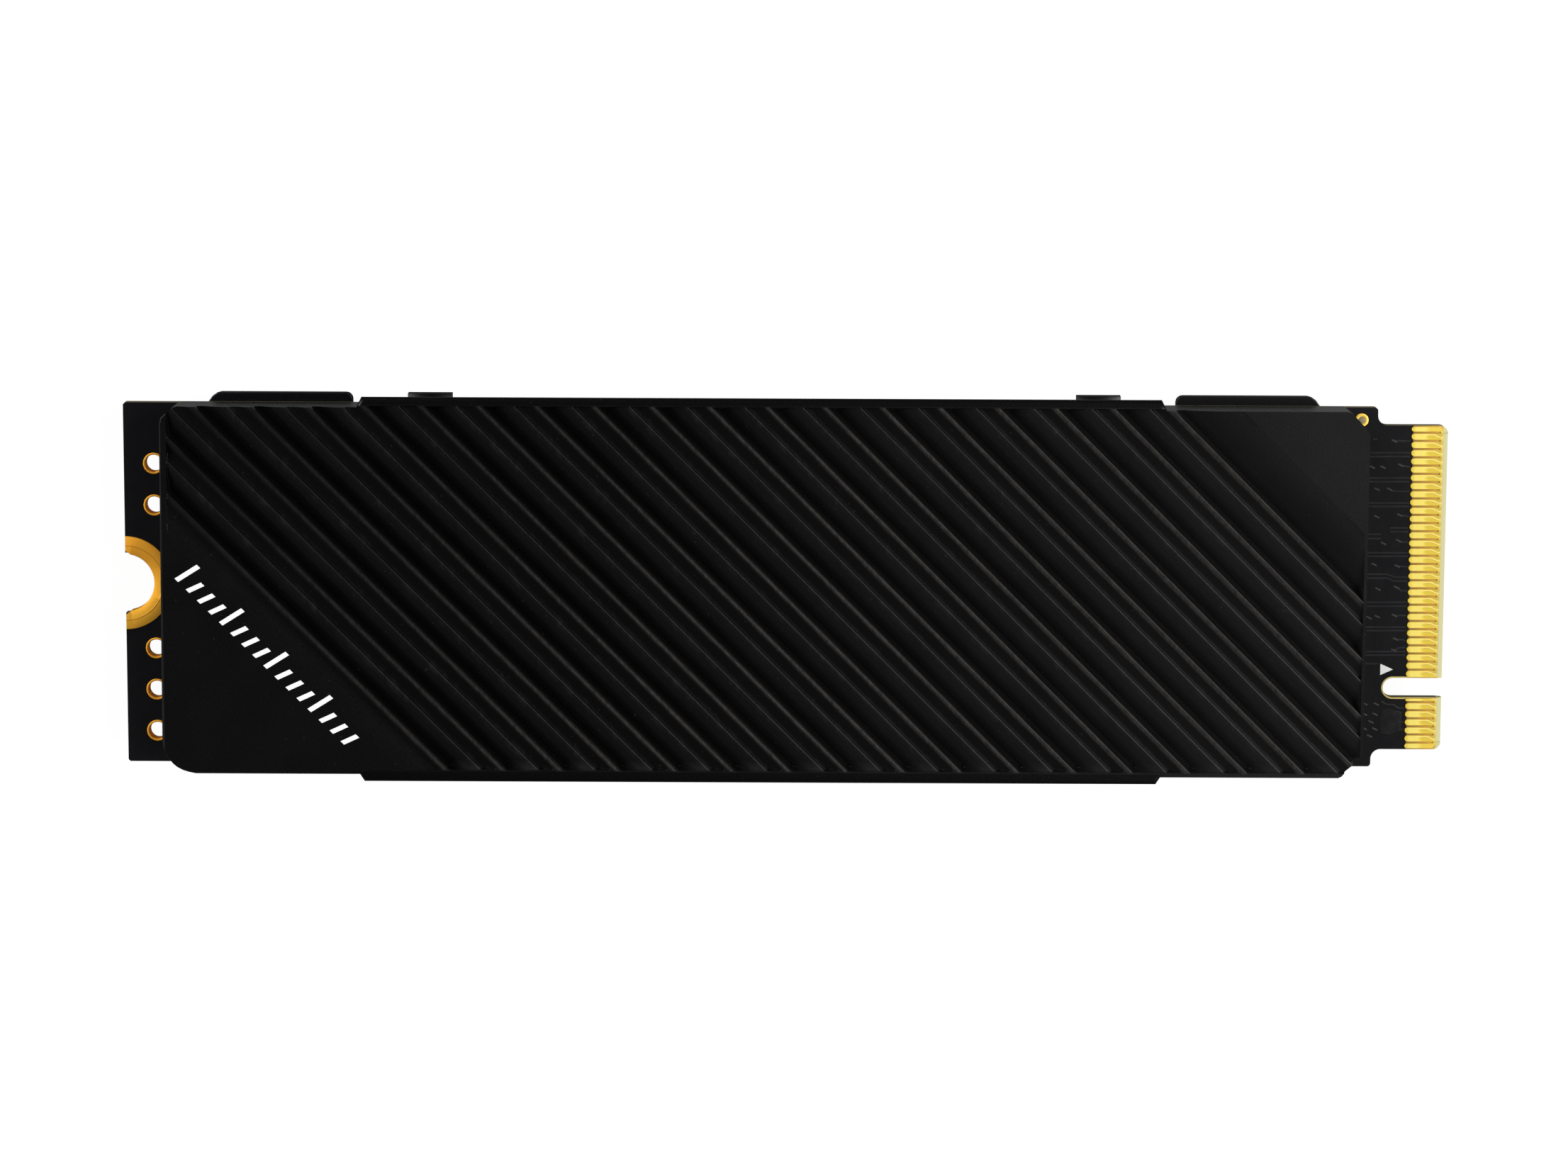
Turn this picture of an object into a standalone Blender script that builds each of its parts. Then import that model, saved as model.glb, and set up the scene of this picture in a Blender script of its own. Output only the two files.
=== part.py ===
"""An M.2 2280 solid state drive in a two-part clip-on heatsink.

The board lies along X, with its edge connector at +X and its screw notch at
-X. The finned face is up, the flat lower shell rests on Z = 0, and X = Y = 0
is the middle of the board. Dimensions below are in millimetres; MM turns them
into metres.
"""

import math

import bmesh
import bpy
from mathutils import Matrix, Vector

MM = 0.001

# Board (M.2 2280, M key)
BOARD_LEFT, BOARD_RIGHT = -40.0, 40.0
BOARD_HALF_WIDTH = 11.0
BOARD_BOTTOM, BOARD_TOP = 2.1, 2.9
EAR_RIGHT = 35.75
EAR_FILLET = 0.6
TONGUE_HALF_WIDTH = 9.925
TONGUE_CORNER = 0.3
KEY_SLOT_Y, KEY_SLOT_WIDTH, KEY_SLOT_DEPTH = -6.125, 1.2, 3.6
NOTCH_RADIUS = 1.75

# Plating
PLATE_GAP, PLATE_THICK = 0.02, 0.06
BARREL_WALL = 0.07
NOTCH_PAD_RADIUS = 2.85
LAND_CLEAR = 0.05
HOLE_X = -38.25
HOLE_YS = (7.30, 4.76, -4.00, -6.54, -9.08)
HOLE_RADIUS, HOLE_PAD_RADIUS = 0.48, 0.65
EAR_VIA = (34.98, 10.24)
EAR_VIA_RADIUS, EAR_VIA_PAD_RADIUS = 0.2, 0.41

# Edge contacts
CONTACT_PITCH, CONTACT_WIDTH = 0.5, 0.39
CONTACT_INNER_X, CONTACT_STRIP_X, CONTACT_TIP_X = 37.78, 39.72, 39.95
TOP_FIRST_Y, BOTTOM_FIRST_Y = 9.25, 9.0
LONG_COUNT = 29
TOP_SHORT_FIRST_Y, TOP_SHORT_COUNT = -7.25, 5
BOTTOM_SHORT_FIRST_Y, BOTTOM_SHORT_COUNT = -7.5, 4
SIDE_PAD_MARGIN = 0.055

# Heatsink
SINK_CENTRE = -1.3
SINK_HALF_LENGTH, SINK_HALF_WIDTH = 36.2, 11.08
SINK_CORNER = 1.15
LIP_HALF_LENGTH, LIP_HALF_WIDTH = 24.1, 11.58
LIP_CORNER = 0.3
SINK_TOP, LIP_BOTTOM, SINK_BOTTOM = 6.1, 5.0, 3.0
SKIRT_INSET = 0.1
POCKET_HALF_LENGTH, POCKET_HALF_WIDTH, POCKET_TOP = 35.2, 10.0, 4.65
END_SLIT_TOP = 3.3
EDGE_ROUND = 0.16

# Slanted fins: wide and narrow saw teeth in turn, square across the ribs
RIB_COUNT = 20
RIB_FIRST_X, RIB_STEP_X = -31.27, 3.4505
RIB_NARROW_SHARE = 0.385
RIB_DEPTH = 0.9
CREST_HALF = 0.07
FIELD_INSET_X, FIELD_HALF_WIDTH = 0.4, 10.8
FIELD_MARGIN = 0.5

# Lower shell
SHELL_HALF_LENGTH, SHELL_HALF_WIDTH, SHELL_CORNER = 33.6, 10.6, 1.2
SHELL_FLOOR, SHELL_TOP = 0.6, 2.0
SHELL_WALL = 0.9
TAB_INNER, TAB_OUTER, TAB_HALF_WIDTH = 24.6, 33.45, 11.54
TAB_BOTTOM, TAB_CORNER = 1.2, 0.55
ARM_INNER, ARM_OUTER = 18.9, 21.57
ARM_FACES = (11.15, 11.5)
ARM_TOP = 4.7
NOSE_DEPTH, NOSE_BOTTOM, NOSE_TOP = 0.3, 3.9, 4.4
NOSE_CLEAR = 0.15

# Electronics: name, centre x, centre y, size x, size y, height
TOP_PACKAGES = (
    ("controller", 24.0, 0.0, 12.0, 12.0, 1.0),
    ("dram", 11.5, 0.0, 8.0, 12.0, 1.0),
    ("nand_top_1", -3.5, 0.0, 12.0, 18.0, 1.0),
    ("nand_top_2", -19.5, 0.0, 12.0, 18.0, 1.0),
    ("power_controller", 32.0, 5.6, 3.0, 4.0, 0.8),
    ("inductor_1", 32.0, 1.6, 2.5, 2.0, 1.0),
    ("inductor_2", 32.0, -1.6, 2.5, 2.0, 1.0),
    ("inductor_3", 32.0, -4.8, 2.5, 2.0, 1.0),
    ("crystal", 24.0, 8.1, 2.5, 2.0, 0.6),
)
BOTTOM_PACKAGES = (
    ("nand_bottom_1", -3.5, 0.0, 12.0, 18.0, 0.9),
    ("nand_bottom_2", -19.5, 0.0, 12.0, 18.0, 0.9),
)
PACKAGE_GAP = 0.05
TOP_PADS = (
    ("thermal_pad_controller", 7.0, 30.4, 12.4),
    ("thermal_pad_nand", -26.0, 3.0, 18.4),
)
BOTTOM_PAD = ("thermal_pad_lower", -26.0, 3.0, 18.4)

RIB_ACROSS = Vector((1, 1, 0)).normalized()
RIB_ALONG = Vector((1, -1, 0)).normalized()


def clear_scene():
    for obj in list(bpy.data.objects):
        bpy.data.objects.remove(obj, do_unlink=True)
    for group in list(bpy.data.collections):
        bpy.data.collections.remove(group)


def new_collection(name):
    group = bpy.data.collections.new(name)
    bpy.context.scene.collection.children.link(group)
    return group


def new_material(name, colour, roughness, metallic):
    made = bpy.data.materials.new(name)
    made.use_nodes = True
    shader = made.node_tree.nodes["Principled BSDF"]
    shader.inputs["Base Color"].default_value = (*colour, 1)
    shader.inputs["Roughness"].default_value = roughness
    shader.inputs["Metallic"].default_value = metallic
    made.diffuse_color = (*colour, 1)
    return made


def new_object(name, mesh, material=None):
    """A visible piece if it has a material, or else a cutter."""
    obj = bpy.data.objects.new(name, mesh)
    if material:
        mesh.materials.append(material)
        parts.objects.link(obj)
    else:
        cutters.objects.link(obj)
        obj.hide_render = True
        obj.display_type = "WIRE"
    return obj


def outline_mesh(name, loops, low, high):
    """A flat outline with any holes: an extruded 2D curve, welded into one closed mesh."""
    curve = bpy.data.curves.new(name, "CURVE")
    curve.dimensions = "2D"
    curve.fill_mode = "BOTH" if len(loops) > 1 else "NONE"
    curve.extrude = (high - low) / 2
    for loop in loops:
        spline = curve.splines.new("POLY")
        spline.points.add(len(loop) - 1)
        for point, (x, y) in zip(spline.points, loop):
            point.co = (x, y, 0, 1)
        spline.use_cyclic_u = True
    holder = bpy.data.objects.new(name, curve)
    bpy.context.scene.collection.objects.link(holder)
    graph = bpy.context.evaluated_depsgraph_get()
    mesh = bpy.data.meshes.new_from_object(holder.evaluated_get(graph))
    bpy.data.objects.remove(holder, do_unlink=True)
    bpy.data.curves.remove(curve)
    mesh.name = name
    cage = bmesh.new()
    cage.from_mesh(mesh)
    bmesh.ops.remove_doubles(cage, verts=cage.verts, dist=0.0005)
    bmesh.ops.translate(cage, verts=cage.verts, vec=(0, 0, (low + high) / 2))
    if len(loops) == 1:
        bmesh.ops.holes_fill(cage, edges=cage.edges, sides=0)
    bmesh.ops.recalc_face_normals(cage, faces=cage.faces)
    cage.to_mesh(mesh)
    cage.free()
    mesh.materials.clear()
    return mesh


def round_rims(mesh, heights, width):
    """Rounds the edges that lie at these heights."""
    cage = bmesh.new()
    cage.from_mesh(mesh)
    rims = [
        edge
        for edge in cage.edges
        if any(all(abs(v.co.z - z) < 1e-4 for v in edge.verts) for z in heights)
    ]
    bmesh.ops.bevel(
        cage, geom=rims, offset=width, segments=2, profile=0.5, affect="EDGES"
    )
    cage.to_mesh(mesh)
    cage.free()


def outline(name, loops, low, high, material=None, rims=(), width=0.15):
    mesh = outline_mesh(name, loops, low, high)
    if rims:
        round_rims(mesh, rims, width)
    mesh.transform(Matrix.Scale(MM, 4))
    return new_object(name, mesh, material)


def box(name, low, high, material=None):
    low, high = Vector(low), Vector(high)
    cage = bmesh.new()
    bmesh.ops.create_cube(cage, size=1)
    size = high - low
    bmesh.ops.scale(cage, verts=cage.verts, vec=size)
    bmesh.ops.translate(cage, verts=cage.verts, vec=(low + high) / 2)
    bmesh.ops.scale(cage, verts=cage.verts, vec=(MM, MM, MM))
    mesh = bpy.data.meshes.new(name)
    cage.to_mesh(mesh)
    cage.free()
    return new_object(name, mesh, material)


def add_boolean(obj, other, operation="DIFFERENCE"):
    modifier = obj.modifiers.new(operation.lower() + "_" + other.name, "BOOLEAN")
    modifier.operation = operation
    modifier.object = other
    modifier.solver = "EXACT"


def add_bevel(obj, width, segments=1, angle=40):
    modifier = obj.modifiers.new("edges", "BEVEL")
    modifier.width = width * MM
    modifier.segments = segments
    modifier.limit_method = "ANGLE"
    modifier.angle_limit = math.radians(angle)
    modifier.harden_normals = False


def arc(cx, cy, radius, start, end, steps):
    """Points on an arc, from one angle to the other in degrees, both ends included."""
    return [
        (
            cx + radius * math.cos(math.radians(start + (end - start) * i / steps)),
            cy + radius * math.sin(math.radians(start + (end - start) * i / steps)),
        )
        for i in range(steps + 1)
    ]


def circle(cx, cy, radius, steps=24):
    return arc(cx, cy, radius, 0, 360, steps)[:-1]


def rounded_rectangle(x0, x1, y0, y1, radius, steps=4):
    return (
        arc(x1 - radius, y0 + radius, radius, -90, 0, steps)
        + arc(x1 - radius, y1 - radius, radius, 0, 90, steps)
        + arc(x0 + radius, y1 - radius, radius, 90, 180, steps)
        + arc(x0 + radius, y0 + radius, radius, 180, 270, steps)
    )


def four_way(quarter, cx):
    """The whole outline of a shape that is the same in each quarter."""
    left = [(-x, y) for x, y in reversed(quarter)]
    top = quarter + left
    return [(cx + x, y) for x, y in top + [(-x, -y) for x, y in top]]


def board_outline():
    slot_low = KEY_SLOT_Y - KEY_SLOT_WIDTH / 2
    slot_high = KEY_SLOT_Y + KEY_SLOT_WIDTH / 2
    slot_end = BOARD_RIGHT - KEY_SLOT_DEPTH + KEY_SLOT_WIDTH / 2
    cut = NOTCH_RADIUS + BARREL_WALL + PLATE_GAP
    points = [(BOARD_LEFT, -BOARD_HALF_WIDTH)]
    points += arc(EAR_RIGHT - 0.25, -BOARD_HALF_WIDTH + 0.25, 0.25, -90, 0, 3)
    points += arc(
        EAR_RIGHT + EAR_FILLET, -TONGUE_HALF_WIDTH - EAR_FILLET, EAR_FILLET, 180, 90, 5
    )
    points += [
        (BOARD_RIGHT - TONGUE_CORNER, -TONGUE_HALF_WIDTH),
        (BOARD_RIGHT, -TONGUE_HALF_WIDTH + TONGUE_CORNER),
        (BOARD_RIGHT, slot_low),
    ]
    points += arc(slot_end, KEY_SLOT_Y, KEY_SLOT_WIDTH / 2, 270, 90, 10)
    points += [
        (BOARD_RIGHT, slot_high),
        (BOARD_RIGHT, TONGUE_HALF_WIDTH - TONGUE_CORNER),
        (BOARD_RIGHT - TONGUE_CORNER, TONGUE_HALF_WIDTH),
    ]
    points += arc(
        EAR_RIGHT + EAR_FILLET, TONGUE_HALF_WIDTH + EAR_FILLET, EAR_FILLET, 270, 180, 5
    )
    points += arc(EAR_RIGHT - 0.25, BOARD_HALF_WIDTH - 0.25, 0.25, 0, 90, 3)
    points += [(BOARD_LEFT, BOARD_HALF_WIDTH)]
    points += arc(BOARD_LEFT, 0, cut, 90, -90, 20)
    return points


def build_board():
    clear = BARREL_WALL + PLATE_GAP
    holes = [circle(HOLE_X, y, HOLE_RADIUS + clear) for y in HOLE_YS]
    holes.append(circle(*EAR_VIA, EAR_VIA_RADIUS + clear, 16))
    outline("pcb", [board_outline(), *holes], BOARD_BOTTOM, BOARD_TOP, mask_black)


def comb_outline(first_y, count, high_edge=None, low_edge=None):
    """Contacts side by side, joined along the board's edge by the plating strip.

    An edge of the tongue or slot beside the row, if given, adds a plain pad that
    fills the space up to it.
    """
    half = CONTACT_WIDTH / 2
    gap = (CONTACT_PITCH - CONTACT_WIDTH) / 2
    last_y = first_y - (count - 1) * CONTACT_PITCH
    fingers = [
        (first_y - i * CONTACT_PITCH - half, first_y - i * CONTACT_PITCH + half)
        for i in range(count)
    ]
    if high_edge is not None:
        fingers.insert(
            0, (first_y + CONTACT_PITCH / 2 + gap, high_edge - SIDE_PAD_MARGIN)
        )
    if low_edge is not None:
        fingers.append((low_edge + SIDE_PAD_MARGIN, last_y - CONTACT_PITCH / 2 - gap))
    points = [(CONTACT_TIP_X, fingers[-1][0]), (CONTACT_TIP_X, fingers[0][1])]
    for low, high in fingers:
        round_end = (high - low) / 2
        points.append((CONTACT_STRIP_X, high))
        points += arc(
            CONTACT_INNER_X + round_end, (low + high) / 2, round_end, 90, 270, 6
        )
        points.append((CONTACT_STRIP_X, low))
    # The first and last points of the strip lie on the contacts' own edges.
    return [
        p
        for i, p in enumerate(points)
        if not (i in (2, len(points) - 1) and p[0] == CONTACT_STRIP_X)
    ]


def build_contacts():
    top = (BOARD_TOP + PLATE_GAP, BOARD_TOP + PLATE_GAP + PLATE_THICK)
    bottom = (BOARD_BOTTOM - PLATE_GAP - PLATE_THICK, BOARD_BOTTOM - PLATE_GAP)
    slot_low = KEY_SLOT_Y - KEY_SLOT_WIDTH / 2
    slot_high = KEY_SLOT_Y + KEY_SLOT_WIDTH / 2
    for name, comb, (low, high) in (
        (
            "edge_contacts_top_long",
            comb_outline(TOP_FIRST_Y, LONG_COUNT, TONGUE_HALF_WIDTH, slot_high),
            top,
        ),
        (
            "edge_contacts_top_short",
            comb_outline(
                TOP_SHORT_FIRST_Y, TOP_SHORT_COUNT, slot_low, -TONGUE_HALF_WIDTH
            ),
            top,
        ),
        ("edge_contacts_bottom_long", comb_outline(BOTTOM_FIRST_Y, LONG_COUNT), bottom),
        (
            "edge_contacts_bottom_short",
            comb_outline(BOTTOM_SHORT_FIRST_Y, BOTTOM_SHORT_COUNT),
            bottom,
        ),
    ):
        outline(name, [comb], low, high, gold)


def turned(name, profile, centre, steps, material=None):
    """A profile of (radius, z) points, turned about a vertical axis with Screw."""
    mesh = bpy.data.meshes.new(name)
    cage = bmesh.new()
    verts = [cage.verts.new((r * MM, 0, z * MM)) for r, z in profile]
    for a, b in zip(verts, verts[1:] + verts[:1]):
        cage.edges.new((a, b))
    cage.to_mesh(mesh)
    cage.free()
    holder = bpy.data.objects.new(name, mesh)
    bpy.context.scene.collection.objects.link(holder)
    screw = holder.modifiers.new("turn", "SCREW")
    screw.axis = "Z"
    screw.angle = math.tau
    screw.steps = steps
    screw.render_steps = steps
    screw.use_merge_vertices = True
    screw.merge_threshold = 0.000001
    graph = bpy.context.evaluated_depsgraph_get()
    turned_mesh = bpy.data.meshes.new_from_object(holder.evaluated_get(graph))
    bpy.data.objects.remove(holder, do_unlink=True)
    bpy.data.meshes.remove(mesh)
    turned_mesh.name = name
    turned_mesh.shade_smooth()
    turned_mesh.set_sharp_from_angle(angle=math.radians(35))
    obj = new_object(name, turned_mesh, material)
    obj.location = (centre[0] * MM, centre[1] * MM, 0)
    return obj


def eyelet_profile(bore, pad):
    """A plated hole in section, from its outer side down: pad, barrel, pad."""
    outside = bore + BARREL_WALL
    top = BOARD_TOP + PLATE_GAP
    bottom = BOARD_BOTTOM - PLATE_GAP
    return [
        (pad, top + PLATE_THICK),
        (pad, top),
        (outside, top),
        (outside, bottom),
        (pad, bottom),
        (pad, bottom - PLATE_THICK),
        (bore, bottom - PLATE_THICK),
        (bore, top + PLATE_THICK),
    ]


def build_plated_holes():
    for i, y in enumerate(HOLE_YS, 1):
        profile = eyelet_profile(HOLE_RADIUS, HOLE_PAD_RADIUS)
        turned(f"plated_hole_{i}", profile, (HOLE_X, y), 24, gold)
    profile = eyelet_profile(EAR_VIA_RADIUS, EAR_VIA_PAD_RADIUS)
    turned("plated_hole_ear", profile, EAR_VIA, 16, gold)


def build_screw_land():
    """The half-round gold land of the screw notch: a top pad, the plated edge and a bottom pad."""
    profile = eyelet_profile(NOTCH_RADIUS, NOTCH_PAD_RADIUS)
    land = turned("screw_land", profile, (BOARD_LEFT, 0), 48, gold)
    trim = box("trim_screw_land", (-45, -5, 0), (BOARD_LEFT + 0.01, 5, 5))
    add_boolean(land, trim)
    # The top pad stops where the heatsink begins.
    edge = SINK_CENTRE - SINK_HALF_LENGTH - LAND_CLEAR
    under = box("trim_top_pad", (edge, -5, BOARD_TOP), (-35, 5, 5))
    add_boolean(land, under)


def rib_profile():
    """The space over the fins, across the ribs, as (distance, height) points from one end to the other."""
    step = RIB_STEP_X / math.sqrt(2)
    first = RIB_FIRST_X / math.sqrt(2)
    above = SINK_TOP + 0.3
    floor = SINK_TOP - RIB_DEPTH
    wide = step * (1 - RIB_NARROW_SHARE)
    narrow = step * RIB_NARROW_SHARE
    points = []
    for i in range(RIB_COUNT):
        crest = first + i * step
        edge = crest - narrow
        # Narrow tooth: a steep drop at the edge, a floor, and a slope up to the crest.
        points += [
            (edge + CREST_HALF - 0.02, above),
            (edge + CREST_HALF + 0.06, floor + 0.1),
            (edge + CREST_HALF + 0.14, floor),
            (edge + narrow * 0.5, floor + 0.04),
            (edge + narrow * 0.66, floor + 0.28),
            (crest - CREST_HALF - 0.03, SINK_TOP - 0.1),
            (crest - CREST_HALF + 0.09, above),
        ]
        # Wide tooth: a steep drop, then a long hollow slope up to the next edge.
        reach = wide if i < RIB_COUNT - 1 else wide * 1.25
        points += [
            (crest + CREST_HALF + 0.02, above),
            (crest + CREST_HALF + 0.10, floor + 0.1),
            (crest + CREST_HALF + 0.18, floor),
        ]
        start = crest + CREST_HALF + 0.18
        end = crest + reach - CREST_HALF
        for j in range(1, 6):
            t = j / 5.2
            height = floor + RIB_DEPTH * t**1.45
            points.append((start + (end - start) * t, height))
        points.append((end + 0.1, above))
    return points


def build_rib_cutter():
    line = rib_profile()
    high = SINK_TOP + 1.0
    loop = [(line[0][0], high), *line, (line[-1][0], high)]
    mesh = outline_mesh("rib_cutter", [loop], -40, 40)
    turn = Matrix((RIB_ACROSS, Vector((0, 0, 1)), RIB_ALONG)).transposed().to_4x4()
    shift = Matrix.Translation((0, 0, 0))
    mesh.transform(Matrix.Scale(MM, 4) @ shift @ turn)
    cutter = new_object("rib_cutter", mesh)

    # The fins end in sloping faces inside a plain border.
    field = bmesh.new()
    bmesh.ops.create_cube(field, size=2)
    low, high = SINK_TOP - RIB_DEPTH - 0.3, SINK_TOP + FIELD_MARGIN
    for vert in field.verts:
        z = high if vert.co.z > 0 else low
        grow = z - SINK_TOP
        vert.co.x = SINK_CENTRE + vert.co.x * (
            SINK_HALF_LENGTH - FIELD_INSET_X + grow
        )
        vert.co.y *= FIELD_HALF_WIDTH + grow
        vert.co.z = z
    mesh = bpy.data.meshes.new("rib_field")
    field.to_mesh(mesh)
    field.free()
    mesh.transform(Matrix.Scale(MM, 4))
    limit = new_object("rib_field", mesh)
    add_boolean(cutter, limit, "INTERSECT")
    return cutter


def build_heatsink():
    half, wide = SINK_HALF_LENGTH, SINK_HALF_WIDTH
    corner = SINK_CORNER
    quarter = [
        (half, wide - corner),
        (half - corner * 0.9, wide),
        (LIP_HALF_LENGTH + LIP_CORNER, wide),
        (LIP_HALF_LENGTH, LIP_HALF_WIDTH),
    ]
    sink = outline(
        "heatsink",
        [four_way(quarter, SINK_CENTRE)],
        LIP_BOTTOM,
        SINK_TOP,
        anodised,
        [SINK_TOP],
        EDGE_ROUND,
    )

    inset = SKIRT_INSET
    quarter = [
        (half - inset, wide - corner),
        (half - corner * 0.9, wide - inset),
    ]
    skirt = outline(
        "skirt", [four_way(quarter, SINK_CENTRE)], SINK_BOTTOM, LIP_BOTTOM + 0.5
    )
    add_boolean(sink, skirt, "UNION")

    pocket = outline(
        "pocket",
        [
            rounded_rectangle(
                SINK_CENTRE - POCKET_HALF_LENGTH,
                SINK_CENTRE + POCKET_HALF_LENGTH,
                -POCKET_HALF_WIDTH,
                POCKET_HALF_WIDTH,
                1.0,
            )
        ],
        SINK_BOTTOM - 1,
        POCKET_TOP,
    )
    add_boolean(sink, pocket)
    slit = box(
        "end_slit",
        (SINK_CENTRE - 45, -POCKET_HALF_WIDTH + 0.5, SINK_BOTTOM - 1),
        (SINK_CENTRE + 45, POCKET_HALF_WIDTH - 0.5, END_SLIT_TOP),
    )
    add_boolean(sink, slit)
    for x in (-1, 1):
        for y in (-1, 1):
            clear = NOSE_CLEAR
            low = (
                SINK_CENTRE + min(x * ARM_INNER, x * ARM_OUTER) - clear,
                min(y * (ARM_FACES[0] - NOSE_DEPTH - clear), y * 11.4),
                NOSE_BOTTOM - clear,
            )
            high = (
                SINK_CENTRE + max(x * ARM_INNER, x * ARM_OUTER) + clear,
                max(y * (ARM_FACES[0] - NOSE_DEPTH - clear), y * 11.4),
                NOSE_TOP + clear,
            )
            side = ("left" if x < 0 else "right") + ("_front" if y < 0 else "_back")
            add_boolean(sink, box("catch_recess_" + side, low, high))
    add_boolean(sink, build_rib_cutter())
    return sink


def build_lower_shell():
    half, wide = SHELL_HALF_LENGTH, SHELL_HALF_WIDTH
    left, right = SINK_CENTRE - half, SINK_CENTRE + half
    shell = outline(
        "lower_shell",
        [rounded_rectangle(left, right, -wide, wide, SHELL_CORNER)],
        0,
        SHELL_TOP,
        satin_black,
        [0],
        0.25,
    )
    wall = SHELL_WALL
    tray = outline(
        "tray",
        [
            rounded_rectangle(
                left + wall, right - wall, -wide + wall, wide - wall, SHELL_CORNER - 0.6
            )
        ],
        SHELL_FLOOR,
        SHELL_TOP + 1,
    )
    for x in (-1, 1):
        for y in (-1, 1):
            side = ("left" if x < 0 else "right") + ("_front" if y < 0 else "_back")
            # Finger tab, level with the rim
            x0, x1 = sorted((SINK_CENTRE + x * TAB_INNER, SINK_CENTRE + x * TAB_OUTER))
            y0, y1 = sorted((y * (wide - 0.4), y * TAB_HALF_WIDTH))
            loop = rounded_rectangle(x0, x1, y0, y1, TAB_CORNER)
            tab = outline("tab_" + side, [loop], TAB_BOTTOM, SHELL_TOP)
            add_boolean(shell, tab, "UNION")
            # Snap arm: a foot under the board's edge, an upright and an inward nose
            x0, x1 = sorted((SINK_CENTRE + x * ARM_INNER, SINK_CENTRE + x * ARM_OUTER))
            inner, outer = ARM_FACES
            y0, y1 = sorted((y * (wide - 0.4), y * outer))
            foot = box("arm_foot_" + side, (x0, y0, TAB_BOTTOM), (x1, y1, SHELL_TOP))
            y0, y1 = sorted((y * inner, y * outer))
            post = box(
                "arm_post_" + side, (x0, y0, TAB_BOTTOM + 0.3), (x1, y1, ARM_TOP)
            )
            y0, y1 = sorted((y * (inner - NOSE_DEPTH), y * (inner + 0.1)))
            nose = box(
                "arm_nose_" + side, (x0 + 0.1, y0, NOSE_BOTTOM), (x1 - 0.1, y1, NOSE_TOP)
            )
            add_boolean(shell, foot, "UNION")
            add_boolean(shell, post, "UNION")
            add_boolean(shell, nose, "UNION")
    add_boolean(shell, tray)
    return shell


def build_electronics():
    finish = {"inductor": ferrite, "crystal": nickel}
    low = BOARD_TOP + PACKAGE_GAP
    for name, cx, cy, sx, sy, height in TOP_PACKAGES:
        piece = box(
            name,
            (cx - sx / 2, cy - sy / 2, low),
            (cx + sx / 2, cy + sy / 2, low + height),
            finish.get(name.split("_")[0], moulding),
        )
        add_bevel(piece, 0.08)
    high = BOARD_BOTTOM - PACKAGE_GAP
    for name, cx, cy, sx, sy, height in BOTTOM_PACKAGES:
        piece = box(
            name,
            (cx - sx / 2, cy - sy / 2, high - height),
            (cx + sx / 2, cy + sy / 2, high),
            moulding,
        )
        add_bevel(piece, 0.08)
    pad_low = low + 1.0 + PACKAGE_GAP
    for name, x0, x1, width in TOP_PADS:
        pad = box(
            name,
            (x0, -width / 2, pad_low),
            (x1, width / 2, POCKET_TOP - PACKAGE_GAP),
            silicone,
        )
        add_bevel(pad, 0.1)
    name, x0, x1, width = BOTTOM_PAD
    pad_high = high - BOTTOM_PACKAGES[0][5] - PACKAGE_GAP
    pad = box(
        name,
        (x0, -width / 2, SHELL_FLOOR + PACKAGE_GAP),
        (x1, width / 2, pad_high),
        silicone,
    )
    add_bevel(pad, 0.06)


clear_scene()
parts = new_collection("gumstick_ssd")
cutters = new_collection("cutters")
mask_black = new_material("solder_mask_black", (0.012, 0.013, 0.018), 0.25, 0.0)
gold = new_material("gold_plating", (0.85, 0.58, 0.18), 0.3, 1.0)
anodised = new_material("black_anodised_aluminium", (0.02, 0.02, 0.022), 0.45, 0.6)
satin_black = new_material("black_painted_shell", (0.012, 0.012, 0.014), 0.3, 0.2)
moulding = new_material("package_moulding", (0.03, 0.03, 0.032), 0.55, 0.0)
ferrite = new_material("ferrite", (0.08, 0.08, 0.085), 0.6, 0.0)
nickel = new_material("nickel_lid", (0.6, 0.58, 0.52), 0.35, 1.0)
silicone = new_material("thermal_silicone", (0.35, 0.4, 0.45), 0.8, 0.0)

build_board()
build_contacts()
build_plated_holes()
build_screw_land()
build_heatsink()
build_lower_shell()
build_electronics()
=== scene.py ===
"""The looks of the gumstick solid state drive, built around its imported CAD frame.

The board lies along X with its edge connector at +X, the finned heatsink faces
up and the lower shell rests on Z = 0. Shapes are worked out in millimetres and
scaled to metres when an object is made.
"""

import math

import bmesh
import bpy
from mathutils import Matrix, Vector


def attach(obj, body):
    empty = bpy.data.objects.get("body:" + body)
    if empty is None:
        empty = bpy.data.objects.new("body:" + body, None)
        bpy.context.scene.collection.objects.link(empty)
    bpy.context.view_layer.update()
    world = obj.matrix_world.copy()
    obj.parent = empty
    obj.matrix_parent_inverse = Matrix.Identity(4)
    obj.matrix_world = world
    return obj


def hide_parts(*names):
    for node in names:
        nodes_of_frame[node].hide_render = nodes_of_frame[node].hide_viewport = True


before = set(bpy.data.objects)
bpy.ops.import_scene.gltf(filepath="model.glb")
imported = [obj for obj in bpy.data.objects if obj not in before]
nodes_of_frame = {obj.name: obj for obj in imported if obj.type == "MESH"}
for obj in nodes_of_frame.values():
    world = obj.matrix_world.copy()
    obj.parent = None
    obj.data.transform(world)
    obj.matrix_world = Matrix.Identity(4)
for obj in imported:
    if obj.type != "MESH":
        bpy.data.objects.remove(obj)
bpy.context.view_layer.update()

MM = 0.001

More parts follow.
